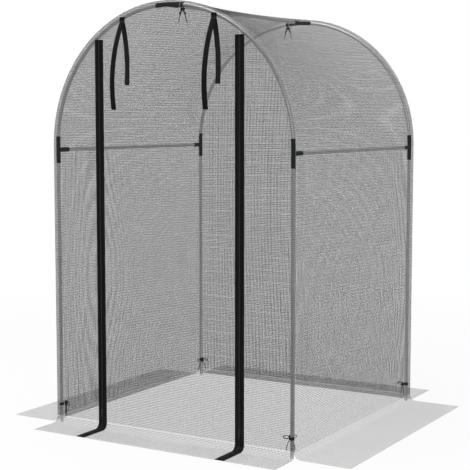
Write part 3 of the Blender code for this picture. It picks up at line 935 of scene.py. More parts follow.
class Wardrobe:
    """Every finish of the cage."""

    def __init__(self) -> None:
        """Build the shared groups and each material once."""
        groups = ShadeGroups()
        netting = ClothFinish(
            "dark netting", dark=(0.022, 0.0225, 0.023), light=(0.034, 0.0345, 0.035),
            across_pitch=0.0012, along_pitch=0.0031, slant=0.5, relief=0.00012,
            roughness=0.70, specular=0.10, tone_scale=2.2,
        )
        self.netting = netting.build(groups)
        # Lighter copy of the dark netting for the skirts on the ground: the same net, whose extra
        # lightness is painted light for flat threads lit from above.
        self.skirt_netting = replace(
            netting, name="ground netting with painted light", dark=(0.46, 0.46, 0.465), light=(0.52, 0.52, 0.525),
            roughness=0.62, specular=0.25,
        ).build(groups)
        self.seam = ClothFinish(
            "seam thread", dark=(0.200, 0.202, 0.205), light=(0.26, 0.262, 0.265),
            across_pitch=0.0016, along_pitch=0.0016, slant=1.0, relief=0.0002,
            roughness=0.75, specular=0.2,
        ).build(groups)
        self.zip_tape = ClothFinish(
            "black zip tape", dark=(0.0055, 0.0055, 0.0058), light=(0.0080, 0.0080, 0.0083),
            across_pitch=0.0011, along_pitch=0.0009, relief=0.00016,
            roughness=0.86, specular=0.10, dust_amount=0.05,
        ).build(groups)
        self.webbing = ClothFinish(
            "black webbing", dark=(0.0050, 0.0050, 0.0053), light=(0.0075, 0.0075, 0.0078),
            across_pitch=0.0021, along_pitch=0.0016, slant=0.5,
            roughness=0.88, specular=0.10, tone_scale=25.0,
        ).build(groups)
        self.lace = ClothFinish(
            "black lace", dark=(0.0035, 0.0035, 0.0037), light=(0.0055, 0.0055, 0.0058),
            across_pitch=0.0016, along_pitch=0.0024, slant=1.0, relief=0.0002,
            specular=0.10, tone_scale=60.0,
        ).build(groups)
        self.stitch = ClothFinish(
            "black thread", dark=(0.016, 0.016, 0.017), light=(0.022, 0.022, 0.023),
            across_pitch=0.0004, along_pitch=0.0006, slant=1.0, relief=0.00005,
            roughness=0.6, specular=0.25, tone_scale=80.0,
        ).build(groups)
        self.steel = HardFinish(
            "zinc-grey tube", base=(0.54, 0.545, 0.55), worn=(0.66, 0.665, 0.67),
            roughness=0.34, metallic=1.0, specular=0.5,
            scuff_scale=30.0, scuff_stretch=(1.0, 1.0, 0.12), scuff_amount=0.5,
        ).build(groups)
        self.connector = HardFinish(
            "green-black plastic", base=(0.0030, 0.0095, 0.0088), worn=(0.0080, 0.0165, 0.0155),
            roughness=0.52, specular=0.12, scuff_scale=55.0, scuff_amount=0.35, grain=0.00012,
        ).build(groups)
        self.teeth = HardFinish(
            "zip teeth", base=(0.010, 0.010, 0.0105), worn=(0.020, 0.020, 0.021),
            roughness=0.40, specular=0.25, scuff_scale=90.0, grain=0.00003,
        ).build(groups)
        self.slider = HardFinish(
            "black painted metal", base=(0.012, 0.012, 0.0125), worn=(0.10, 0.10, 0.10),
            roughness=0.36, specular=0.35, scuff_scale=160.0, scuff_amount=0.25, grain=0.00003,
        ).build(groups)


# Net cover


@dataclass(frozen=True)
class Thread:
    """One kind of thread in the net, and how far apart its runs lie."""

    pitch: float
    width: float
    wander: float = 0.0
    thickness: float = 0.00002
    hem_step: float = 0.0033
    hem_threads: int = 2
    chance_step: float = 12.9898
    chance_scale: float = 43758.5453

    @property
    def outline(self) -> np.ndarray:
        """Cross-section of the thread."""
        corners = np.array([[-1.0, -1.0], [1.0, -1.0], [1.0, 1.0], [-1.0, 1.0]])
        return corners * [self.width / 2, self.thickness / 2]

    def stray(self, number: np.ndarray) -> np.ndarray:
        """How far each numbered thread lies off its place, alike on every panel it crosses."""
        chance = np.modf(np.abs(np.sin(number * self.chance_step)) * self.chance_scale)[0]
        return (2 * chance - 1) * self.wander * self.pitch

    def places(
        self, low: float, high: float, hems: tuple[bool, bool] = (False, False),
    ) -> np.ndarray:
        """Places of the threads between two edges, on one grid for the whole cover.

        Args:
            low: Place of the lower edge.
            high: Place of the upper edge.
            hems: Whether the lower and the upper edge have close threads along them.

        Returns:
            The threads' places in rising order.
        """
        edge = self.width / 2
        close = edge + self.hem_step * np.arange(self.hem_threads)
        free = [close[-1] + self.pitch / 2 if hem else edge for hem in hems]
        first = math.ceil((low + free[0]) / self.pitch)
        last = math.floor((high - free[1]) / self.pitch)
        number = np.arange(first, last + 1)
        grid = np.clip(number * self.pitch + self.stray(number), low + edge, high - edge)
        hem_low, hem_high = (close[:len(close) * hem] for hem in hems)
        return np.concatenate([low + hem_low, grid, (high - hem_high)[::-1]])


@dataclass(frozen=True)
class NetGauge:
    """The net's threads: close fine ones up the walls, and wider level ones across them."""

    front_rising: Thread = Thread(0.0030, 0.00109, wander=0.06)
    back_rising: Thread = Thread(0.00176, 0.00062, wander=0.06)
    cover_rising: Thread = Thread(0.0021, 0.00064, wander=0.12)
    level: Thread = Thread(0.0073, 0.00100, wander=0.03)
    pressed: Thread = Thread(0.0068, 0.00164, thickness=0.00008)
    front_pressed: Thread = Thread(0.0068, 0.00205, thickness=0.00008)
    crossing_lift: float = 0.00002


@dataclass(frozen=True)
class Panel:
    """One upright panel of the front or the back, with its limits over the bend's start."""

    name: str
    row: Row
    x_low: float
    x_high: float
    bottom: float
    top: float
    body: str
    net_node: str
    skirt_node: str | None = None


@dataclass
class NetCover:
    """The sewn net: roof with side walls, back, fixed front panels and door flap."""

    wardrobe: Wardrobe
    gauge: NetGauge = field(default_factory=NetGauge)
    wall_sag: float = 0.007
    roof_sag: float = 0.030
    ridge_rest: float = 0.0078
    seam_radius: float = 0.0006
    seam_sides: int = 6
    seam_stand: float = 0.0003
    zip_gap: float = 0.0004
    solid_share: float = 0.48
    least_share: float = 0.3
    bend_steps: int = 6
    wall_steps: int = 7
    arch_steps: int = 17
    depth_steps: int = 8

    def foot_profile(self, drop: np.ndarray) -> tuple[np.ndarray, ...]:
        """Profile of a wall's foot, bent out over the ground.

        Args:
            drop: Distance along the net below the bend's start; less than 0 is on the wall.

        Returns:
            Distance out from the wall, height, and the outward normal's two parts.
        """
        radius = SIZES.foot_bend
        quarter = radius * QUARTER_TURN
        angle = np.clip(drop, 0.0, quarter) / radius
        past = np.clip(drop - quarter, 0.0, None)
        above = np.clip(-drop, 0.0, None)
        out = radius * (1 - np.cos(angle)) + past
        height = SIZES.bend_height - radius * np.sin(angle) + above
        return out, height, np.cos(angle), np.sin(angle)

    def foot_length(self, row: Row | None = None) -> float:
        """Length of net from the bend's start to a skirt's outer edge.

        Args:
            row: The end that the skirt is on, or None for a side.

        Returns:
            The length.
        """
        reach = SIZES.front_skirt_reach if row is Row.FRONT else SIZES.skirt_reach
        radius = SIZES.net_radius if row else SIZES.cover_radius
        return reach - radius - SIZES.foot_bend + SIZES.foot_bend * QUARTER_TURN

    def foot_stations(self, length: float) -> np.ndarray:
        """Stations along the bend and a skirt of this length, from the bend's start outwards."""
        bend = np.linspace(0, SIZES.foot_bend * QUARTER_TURN, self.bend_steps + 1)
        return np.concatenate([bend, [length]])

    def roof_surface(self, y: np.ndarray, s: np.ndarray) -> tuple[np.ndarray, np.ndarray]:
        """Place on the roof, side walls and side skirts.

        Args:
            y: Place from front to back.
            s: Distance along the net from the ridge, less than 0 on the left.

        Returns:
            Points and outward normals.
        """
        radius = SIZES.cover_radius
        quarter = radius * QUARTER_TURN
        side = np.where(s < 0, -1.0, 1.0)
        distance = np.abs(s)
        angle = np.clip(distance, 0, quarter) / radius
        down = np.clip(distance - quarter, 0, None)
        out, height, normal_out, normal_up = self.foot_profile(down - SIZES.wall_height)
        on_roof = distance < quarter
        x = np.where(on_roof, radius * np.sin(angle), radius + out)
        z = np.where(on_roof, SIZES.leg_height + radius * np.cos(angle), height)
        nx = np.where(on_roof, np.sin(angle), normal_out)
        nz = np.where(on_roof, np.cos(angle), normal_up)
        middle = 1 - np.clip(np.abs(y) / SIZES.half_depth, 0, 1) ** 2
        roof = self.ridge_rest + self.roof_sag * np.abs(np.sin(2 * angle))
        wall = self.wall_sag * np.sin(math.pi * np.clip(down / SIZES.wall_height, 0, 1)) ** 2
        sag = np.where(on_roof, roof, wall) * middle
        points = np.stack([side * (x - nx * sag), y, z - nz * sag], axis=1)
        return points, np.stack([side * nx, np.zeros_like(nx), nz], axis=1)

    def end_surface(self, row: Row) -> Surface:
        """Surface of the front or the back, with its skirt.

        Args:
            row: Which end.

        Returns:
            Function from X and the distance above the bend's start to points and normals.
        """
        deepest = self.wall_sag if row is Row.BACK else 0.0

        def place(x: np.ndarray, t: np.ndarray) -> tuple[np.ndarray, np.ndarray]:
            """Place on this end.

            Args:
                x: X of each point.
                t: Distance above the bend's start.

            Returns:
                Points and outward normals.
            """
            out, height, normal_out, normal_up = self.foot_profile(-t)
            share = np.clip(t / (SIZES.leg_height + SIZES.net_radius), 0, 1)
            middle = 1 - np.clip(np.abs(x) / SIZES.half_width, 0, 1) ** 2
            sag = deepest * np.sin(math.pi * share) ** 2 * middle
            points = np.stack([x, row.value * (SIZES.net_radius + out - sag), height], axis=1)
            return points, np.stack([np.zeros_like(x), row.value * normal_out, normal_up], axis=1)

        return place

    def lay(
        self, sweep: Sweep, surface: Surface, u: object, v: object, kind: Thread, lift: float = 0.0,
    ) -> None:
        """Lay one thread on a surface.

        Args:
            sweep: Collects the threads.
            surface: The surface that it lies on.
            u: First coordinate, at each station or the same at all of them.
            v: Second coordinate, likewise.
            kind: Which thread it is.
            lift: Height of its middle over the net's middle.
        """
        u, v = (np.array(part, float) for part in np.broadcast_arrays(u, v))
        points, normals = surface(u, v)
        points = points + normals * lift
        across = across_path(points, normals)
        sweep.add(points, across, unit(np.cross(tangents_of(points), across)), kind.outline)

    def lay_cover(
        self, name: str, rows: Sequence[np.ndarray], gauge: tuple[Thread, Thread], hems: bool,
    ) -> Piece:
        """Lay the threads of the roof, the side walls or the side skirts.

        Args:
            name: Name of the piece.
            rows: Stations of the rising threads from edge to edge, for each part of the piece.
            gauge: Rising and level thread.
            hems: Whether the piece lies on the ground and has close threads along its edges.

        Returns:
            The piece.
        """
        sweep = Sweep()
        rising, level = gauge
        lift = self.gauge.crossing_lift * (not hems)
        reach = SIZES.cover_end
        for y in rising.places(-reach, reach, (hems, hems)):
            for stations in rows:
                self.lay(sweep, self.roof_surface, y, stations, rising, -lift)
        depth = np.linspace(-reach, reach, (1 if hems else self.depth_steps) + 1)
        for stations in rows:
            ends = (hems and stations[0] < 0, hems and stations[0] > 0)
            for s in level.places(stations[0], stations[-1], ends):
                self.lay(sweep, self.roof_surface, depth, s, level, lift)
        return sweep.piece(name)

    def arch_top(self, x: float) -> float:
        """Distance above the bend's start at which the arch cuts an upright thread."""
        inside = (SIZES.cover_radius - self.gauge.front_rising.width / 2) ** 2 - x ** 2
        return SIZES.wall_height + math.sqrt(max(inside, 0.0))

    def arch_reach(self, t: float) -> float:
        """Half the arch's width at a distance above the bend's start."""
        rise = max(t - SIZES.wall_height, 0.0)
        return math.sqrt(max(SIZES.cover_radius ** 2 - rise ** 2, 0.0))

    def lay_panel(self, panel: Panel, surface: Surface) -> Piece:
        """Lay the threads of one upright panel.

        Args:
            panel: The panel.
            surface: The end's surface.

        Returns:
            The piece.
        """
        sweep = Sweep()
        front = panel.row is Row.FRONT
        level, lift = self.gauge.level, self.gauge.crossing_lift
        rising = self.gauge.front_rising if front else self.gauge.back_rising
        count = 2 if front else self.wall_steps + 1
        for x in rising.places(panel.x_low, panel.x_high):
            top = min(panel.top, self.arch_top(x))
            if top > panel.bottom + level.pitch / 2:
                stations = np.linspace(panel.bottom, top, count)
                self.lay(sweep, surface, x, stations, rising, -lift)
        for t in level.places(panel.bottom, panel.top):
            reach = self.arch_reach(t)
            low, high = max(panel.x_low, -reach), min(panel.x_high, reach)
            if high - low > rising.pitch:
                self.lay(sweep, surface, np.linspace(low, high, count), t, level, lift)
        return sweep.piece(panel.name)

    def lay_skirt(self, panel: Panel, surface: Surface) -> Piece:
        """Lay the threads of the skirt at a panel's foot.

        Args:
            panel: The panel.
            surface: The end's surface.

        Returns:
            The piece.
        """
        sweep = Sweep()
        thread = self.gauge.front_pressed if panel.row is Row.FRONT else self.gauge.pressed
        length = self.foot_length(panel.row)
        stations = -self.foot_stations(length)[::-1]
        edges = (panel.x_low, panel.x_high)
        for x in thread.places(*edges, (True, True)):
            self.lay(sweep, surface, x, stations, thread)
        for t in thread.places(-length, 0.0, (True, False)):
            self.lay(sweep, surface, edges, t, thread)
        return sweep.piece(f"{panel.name}_skirt")

    def finish_skirt(self, skirt: Piece, body: str, nodes: Sequence[str]) -> None:
        """Args:
            skirt: The skirt.
            body: CAD body that it moves with.
            nodes: CAD nodes that it stands for.
        """
        # The skirts take the lighter copy of the netting, whose extra lightness is painted light.
        finish_piece(skirt, body, self.wardrobe.skirt_netting, nodes)

    def finish_net(
        self, net: Piece, body: str, nodes: Sequence[str],
    ) -> None:
        """Args:
            net: The net.
            body: CAD body that it moves with.
            nodes: CAD nodes that it stands for.
        """
        finish_piece(net, body, self.wardrobe.netting, nodes)

    def dress_cover(self) -> None:
        """Make the roof, the side walls and the side skirts."""
        quarter = SIZES.cover_radius * QUARTER_TURN
        start = quarter + SIZES.wall_height
        wall = np.linspace(quarter, start, self.wall_steps + 1)
        foot = start + self.foot_stations(self.foot_length())
        arch = np.linspace(-quarter, quarter, self.arch_steps * 2 + 1)
        gauge = (self.gauge.cover_rising, self.gauge.level)
        for name, rows, nodes in (
            ("roof_net", [arch], ["net_roof"]),
            ("side_nets", [-wall[::-1], wall], ["net_wall_left", "net_wall_right"]),
        ):
            net = self.lay_cover(name, rows, gauge, hems=False)
            length = sum(float(stations[-1] - stations[0]) for stations in rows)
            self.finish_net(net, "cage", nodes)
        pressed = (self.gauge.pressed, self.gauge.pressed)
        skirt = self.lay_cover("side_skirts", [-foot[::-1], foot], pressed, hems=True)
        nodes = ["skirt_left", "skirt_right"]
        self.finish_skirt(skirt, "cage", nodes)

    def dress_panel(self, panel: Panel) -> None:
        """Make one panel of the front or the back, with its skirt if it has one.

        Args:
            panel: The panel.
        """
        surface = self.end_surface(panel.row)
        net = self.lay_panel(panel, surface)
        width, length = panel.x_high - panel.x_low, panel.top - panel.bottom
        self.finish_net(net, panel.body, [panel.net_node])
        if panel.skirt_node:
            skirt = self.lay_skirt(panel, surface)
            size = (width, self.foot_length(panel.row))
            self.finish_skirt(skirt, panel.body, [panel.skirt_node])

    def dress_ends(self) -> None:
        """Make the back, the fixed front panels and the door flap."""
        end, gap = SIZES.cover_radius, self.zip_gap
        top = SIZES.wall_height + end
        hinge = SIZES.door_top - SIZES.bend_height
        inner, half = SIZES.zip_x + gap, SIZES.zip_x - gap
        front = Row.FRONT
        for panel in (
            Panel("back_net", Row.BACK, -end, end, 0.0, top, "cage", "net_wall_back", "skirt_back"),
            Panel("front_net_left", front, -end, -inner, 0.0, top, "cage", "net_front_left",
                  "skirt_front_left"),
            Panel("front_net_right", front, inner, end, 0.0, top, "cage", "net_front_right",
                  "skirt_front_right"),
            Panel("front_net_top", front, -half, half, hinge + 2 * gap, top, "cage",
                  "net_front_top"),
            Panel("door_flap", front, -half, half, 0.0, hinge, "door", "door_net", "door_skirt"),
        ):
            self.dress_panel(panel)

    def sew_corners(self) -> None:
        """Make the seams in which the roof and walls meet the front and the back."""
        corner = SIZES.cover_radius + self.seam_stand
        quarter = corner * QUARTER_TURN
        wall = quarter + np.array([0.5, 1.0]) * SIZES.wall_height
        arch = np.linspace(-quarter, quarter, 2 * self.arch_steps + 1)
        stations = np.concatenate([-wall[::-1], arch, wall])
        angle = np.clip(np.abs(stations), 0, quarter) / corner * np.sign(stations)
        down = np.clip(np.abs(stations) - quarter, 0, None)
        outward = np.stack([np.sin(angle), np.zeros_like(angle), np.cos(angle)], axis=1)
        centres = outward * corner
        centres[:, 2] += SIZES.leg_height - down
        for row in Row:
            centres[:, 1] = row.value * (SIZES.net_radius + self.seam_stand)
            outline = round_outline(self.seam_radius, self.seam_sides)
            sweep = Sweep().add(centres, across_path(centres, outward), outward, outline)
            seam = sweep.piece(f"corner_seam_{row.word}")
            tidy_mesh(seam, smooth_below=70)
            finish_piece(seam, "cage", self.wardrobe.seam)

    def build(self) -> None:
        """Make the whole cover."""
        self.dress_cover()
        self.dress_ends()
        self.sew_corners()


# Zips


@dataclass
class ZipSlider:
    """A zip's slider, and the pull that hangs from its ring."""

    wardrobe: Wardrobe
    height: float = 0.085
    length: float = 0.016
    face: float = 0.0046
    roof: float = 0.0034
    half_width: float = 0.0045
    wall: float = 0.0012
    wall_depths: Span = (0.0016, 0.0044)
    wall_share: float = 0.98
    rim: float = 0.0012
    hollow: float = 0.0004
    edge: float = 0.00035
    least_face: float = 1e-5
    ring_radius: float = 0.0034
    ring_wire: float = 0.00062
    ring_stretch: Place = (1.3, 0.80, 1.0)
    pull_depth: float = 0.0057
    pull_width: float = 0.0080
    pull_length: float = 0.028
    pull_thickness: float = 0.0012
    pull_corner: float = 0.0030
    pull_edge: float = 0.00025
    slot: Place = (0.0034, 0.01, 0.0074)
    slot_corner: float = 0.0012
    ribs: int = 5
    rib_start: float = 0.0165
    rib_pitch: float = 0.0018
    rib_share: float = 0.66
    rib_stand: float = 0.0005
    rib_height: float = 0.0008
    rib_edge: float = 0.0002

    def slider(self, name: str, zip_x: float) -> Piece:
        """Slider: a plate over the teeth with two side walls, a raised rim and a ring.

        Args:
            name: Name of the piece.
            zip_x: X of the zip's middle.

        Returns:
            The slider.
        """
        face_y = -SIZES.net_face
        plate = start_block(
            name, (zip_x, face_y - (self.roof + self.face) / 2, self.height),
            (2 * self.half_width, self.face - self.roof, self.length),
        )
        low, high = self.wall_depths
        for side in Side:
            x = zip_x + side.value * (self.half_width - self.wall / 2)
            wall = start_block(
                f"{name}_wall", (x, face_y - (low + high) / 2, self.height),
                (self.wall, high - low, self.length * self.wall_share),
            )
            join_solid(plate, wall)
        edit_where(plate, lambda face: faces_front(face) and face.area > self.least_face)
        bpy.ops.mesh.inset(thickness=self.rim)
        extrude((0.0, self.hollow, 0.0))
        leave_edit()
        round_edges(plate, self.edge)
        middle = (zip_x, face_y - self.face, self.height)
        ring = start_from(
            f"{name}_ring", bpy.ops.mesh.primitive_torus_add, location=middle,
            rotation=(0.0, QUARTER_TURN, 0.0), major_radius=self.ring_radius,
            minor_radius=self.ring_wire, major_segments=28, minor_segments=10,
        )
        edit_all(ring)
        resize(self.ring_stretch, middle)
        slider = join_pieces(plate, ring)
        tidy_mesh(slider, smooth_below=40)
        return slider

    def pull(self, name: str, zip_x: float) -> Piece:
        """Pull tab with a slot at its top, a rounded end and grip ribs.

        Args:
            name: Name of the piece.
            zip_x: X of the zip's middle.

        Returns:
            The pull.
        """
        y = -SIZES.net_face - self.pull_depth
        thick = self.pull_thickness
        middle = self.height + (thick / 2 - self.pull_length) / 2
        extent = (self.pull_width, thick, self.pull_length + thick / 2)
        tab = start_block(name, (zip_x, y, middle), extent)

        def at_lower_corner(edge: bpy.types.MeshEdge) -> bool:
            """Whether an edge runs through the tab at one of its lower corners."""
            first, second = (tab.data.vertices[i].co for i in edge.vertices)
            return abs(first.y - second.y) > thick / 2 and first.z < middle

        edit_where(tab, at_lower_corner, edges=True)
        bpy.ops.mesh.bevel(offset=self.pull_corner, segments=5)
        leave_edit()
        slot_z = self.height - (thick + self.slot[2]) / 2
        cutter = start_block(f"{name}_slot", (zip_x, y, slot_z), self.slot)
        round_edges(cutter, self.slot_corner, segments=3)
        join_solid(tab, cutter, cut=True)
        round_edges(tab, self.pull_edge)
        extent = (self.pull_width * self.rib_share, thick + self.rib_stand, self.rib_height)
        ribs = []
        for number in range(self.ribs):
            z = self.height - self.rib_start - self.rib_pitch * number
            ribs.append(start_block(f"{name}_rib", (zip_x, y, z), extent))
            round_edges(ribs[-1], self.rib_edge)
        pull = join_pieces(tab, *ribs)
        tidy_mesh(pull, smooth_below=40)
        return pull

    def build(self, side: Side) -> None:
        """Make the slider and the pull of one zip.

        Args:
            side: Which zip.
        """
        zip_x = side.value * SIZES.zip_x
        for kind, name, make in (
            ("slider", "slider_body", self.slider), ("pull", "pull_tab", self.pull),
        ):
            piece = make(f"{name}_{side.word}", zip_x)
            body, node = f"{kind}_{side.word}", f"zip_{kind}_{side.word}"
            finish_piece(piece, body, self.wardrobe.slider, [node])


@dataclass
class ZipFasteners:
    """Both zips: tapes with stitching, interlocking teeth, sliders and pulls."""

    wardrobe: Wardrobe
    split: float = 0.0003
    tape_width: float = 0.0225
    tape_back: float = 0.0003
    tape_front: float = 0.0013
    edge_cut: float = 0.0004
    fold_width: float = 0.0055
    fold_height: float = 0.0003
    ridge_width: float = 0.0012
    ridge_height: float = 0.0004
    ramp: float = 0.0003
    wall_steps: int = 4
    bend_steps: int = 10
    teeth_back: float = 0.0014
    teeth_front: float = 0.0031
    teeth_width: float = 0.0030
    tooth_pitch: float = 0.0026
    tooth_share: float = 0.62
    door_shift: float = 0.5
    nose_inset: float = 0.00035
    nose_taper: Place = (1.0, 0.9, 0.55)
    stitch_pitch: float = 0.0042
    stitch_lines: Span = (0.0182, 0.0213)
    stitch_size: Span = (0.0006, 0.0004)
    stitch_share: float = 0.72
    stitch_taper: Place = (0.55, 1.0, 0.72)
    first_stitch: float = 0.8

    @property
    def bend(self) -> float:
        """Radius in which the net's outer face bends at the foot."""
        return SIZES.foot_bend - SIZES.net_half

    @property
    def straight(self) -> float:
        """Length of a zip above its bend."""
        return SIZES.zip_top - SIZES.bend_height

    @property
    def length(self) -> float:
        """Length of a zip along the net."""
        flat = SIZES.front_skirt_reach - SIZES.net_face - self.bend
        return self.straight + self.bend * QUARTER_TURN + flat

    def path(self, s: np.ndarray) -> tuple[np.ndarray, np.ndarray]:
        """Place along a zip, down the front and out over the ground.

        Args:
            s: Distance along the net from the zip's top.

        Returns:
            Points at X 0 on the net's outer face, and outward normals.
        """
        bend, straight = self.bend, self.straight
        angle = np.clip((s - straight) / bend, 0.0, QUARTER_TURN)
        past = np.clip(s - straight - bend * QUARTER_TURN, 0.0, None)
        out = SIZES.net_face + bend * (1 - np.cos(angle)) + past
        bent = SIZES.bend_height - bend * np.sin(angle)
        height = np.where(s > straight, bent, SIZES.zip_top - s)
        normals = np.stack([0 * s, -np.cos(angle), np.sin(angle)], axis=1)
        return np.stack([0 * s, -out, height], axis=1), normals

    def stations(self) -> np.ndarray:
        """Stations along a zip, close together in its bend.

        Returns:
            Their distances along the net from the zip's top.
        """
        straight, length = self.straight, self.length
        wall = np.linspace(0, straight, self.wall_steps + 1)[:-1]
        bend = np.linspace(straight, straight + self.bend * QUARTER_TURN, self.bend_steps + 1)
        return np.concatenate([wall, bend, [(bend[-1] + length) / 2, length]])

    def tape(self, name: str, zip_x: float, outward: int) -> Piece:
        """Woven tape of one half of a zip, folded double along its outer edge.

        Args:
            name: Name of the piece.
            zip_x: X of the zip's middle.
            outward: 1 where the tape lies to the right of the teeth, -1 to the left.

        Returns:
            The tape.
        """
        back, front = self.tape_back, self.tape_front
        width, bead = self.tape_width, self.teeth_width
        fold, ridge = width - self.fold_width, bead + self.ridge_width
        rim, crest = front + self.fold_height, front + self.ridge_height
        outline = np.array([
            [self.split, back], [width - self.edge_cut, back], [width, (back + rim) / 2],
            [width - self.edge_cut, rim], [fold + self.ramp, rim], [fold, front],
            [ridge, front], [ridge - self.ramp, crest], [bead + self.ramp, crest],
            [bead, front], [(self.split + bead) / 2, front], [self.split, front],
        ])
        centres, normals = self.path(self.stations())
        centres[:, 0] = zip_x
        across = across_path(centres, normals)
        flip = outward * float(np.sign(across[0, 0]))
        outline = outline * [flip, 1.0]
        sweep = Sweep().add(centres, across, normals, outline if flip > 0 else outline[::-1])
        return sweep.piece(name)

    def repeat_along(self, model: Piece, name: str, places: np.ndarray) -> Piece:
        """Copy a small model along a zip and use the model up.

        Args:
            model: The model, made at the zip's top.
            name: Name of the row of copies.
            places: Distance along the net of each copy.

        Returns:
            The row as one piece.
        """
        corners = np.array([vertex.co for vertex in model.data.vertices], float)
        faces = np.array([list(face.vertices) for face in model.data.polygons])
        bpy.data.objects.remove(model, do_unlink=True)
        along = SIZES.zip_top - corners[:, 2]
        depth = -SIZES.net_face - corners[:, 1]
        points = []
        for centre, normal in zip(*self.path(places)):
            tangent = np.cross([1.0, 0.0, 0.0], normal)
            points.append(centre + np.outer(along, tangent) + np.outer(depth, normal))
            points[-1][:, 0] = corners[:, 0]
        offsets = np.arange(len(places))[:, None, None] * len(corners)
        copies = (faces[None] + offsets).reshape(-1, faces.shape[1])
        return mesh_piece(name, np.concatenate(points), copies)

    def teeth(self, name: str, zip_x: float, outward: int, shift: float) -> Piece:
        """A whole row of moulded teeth, each with a rounded nose at the zip's middle.

        Args:
            name: Name of the piece.
            zip_x: X of the zip's middle.
            outward: 1 for the row to the right of the middle, -1 to the left.
            shift: Share of a pitch by which the row is moved, so that it meshes with the other.

        Returns:
            The row.
        """
        depth, pitch = self.teeth_front - self.teeth_back, self.tooth_pitch
        x = zip_x + outward * (self.split + self.teeth_width) / 2
        y = -SIZES.net_face - self.teeth_back - depth / 2
        extent = (self.teeth_width - self.split, depth, pitch * self.tooth_share)
        model = start_block(f"{name}_model", (x, y, SIZES.zip_top), extent)
        nose = zip_x + outward * self.split
        edit_where(model, lambda face: abs(face.center.x - nose) < self.split / 2)
        bpy.ops.mesh.inset(thickness=self.nose_inset)
        resize(self.nose_taper, (nose, y, SIZES.zip_top))
        leave_edit()
        count = int((self.length - pitch * 2) / pitch)
        return self.repeat_along(model, name, (np.arange(count) + 1 + shift) * pitch)

    def stitches(self, name: str, zip_x: float, outward: int) -> Piece:
        """Two rows of stitches along a tape's folded edge.

        Args:
            name: Name of the piece.
            zip_x: X of the zip's middle.
            outward: 1 where the tape lies to the right of the teeth, -1 to the left.

        Returns:
            The stitches.
        """
        y = -SIZES.net_face - self.tape_front - self.fold_height
        pitch = self.stitch_pitch
        count = int((self.length - pitch) / pitch)
        rows = []
        for line in self.stitch_lines:
            middle = (zip_x + outward * line, y, SIZES.zip_top)
            extent = (*self.stitch_size, pitch * self.stitch_share)
            model = start_block(f"{name}_model", middle, extent)
            edit_where(model, faces_front)
            resize(self.stitch_taper, middle)
            leave_edit()
            places = (np.arange(count) + self.first_stitch) * pitch
            rows.append(self.repeat_along(model, name, places))
        return join_pieces(*rows)

    def build(self) -> None:
        """Make both zips."""
        slider = ZipSlider(self.wardrobe)
        for side in Side:
            zip_x = side.value * SIZES.zip_x
            for keeper, outward in ((Keeper.FIXED, side.value), (Keeper.DOOR, -side.value)):
                on_door = keeper is Keeper.DOOR
                body = "door" if on_door else "cage"
                node = f"{keeper.value}_tape_{side.word}"
                tape = self.tape(f"{node}_cloth", zip_x, outward)
                tidy_mesh(tape, smooth_below=30)
                finish_piece(tape, body, self.wardrobe.zip_tape, [node])
                thread = self.stitches(f"{node}_stitches", zip_x, outward)
                finish_piece(thread, body, self.wardrobe.stitch)
                node = f"{keeper.value}_teeth_{side.word}"
                shift = self.door_shift if on_door else 0.0
                teeth = self.teeth(f"{node}_row", zip_x, outward, shift)
                tidy_mesh(teeth, smooth_below=25)
                finish_piece(teeth, body, self.wardrobe.teeth, [node])
            slider.build(side)


# Straps


class StrapPlace(Enum):
    """Outside or inside the net."""

    OUTER = "outer"
    INNER = "inner"


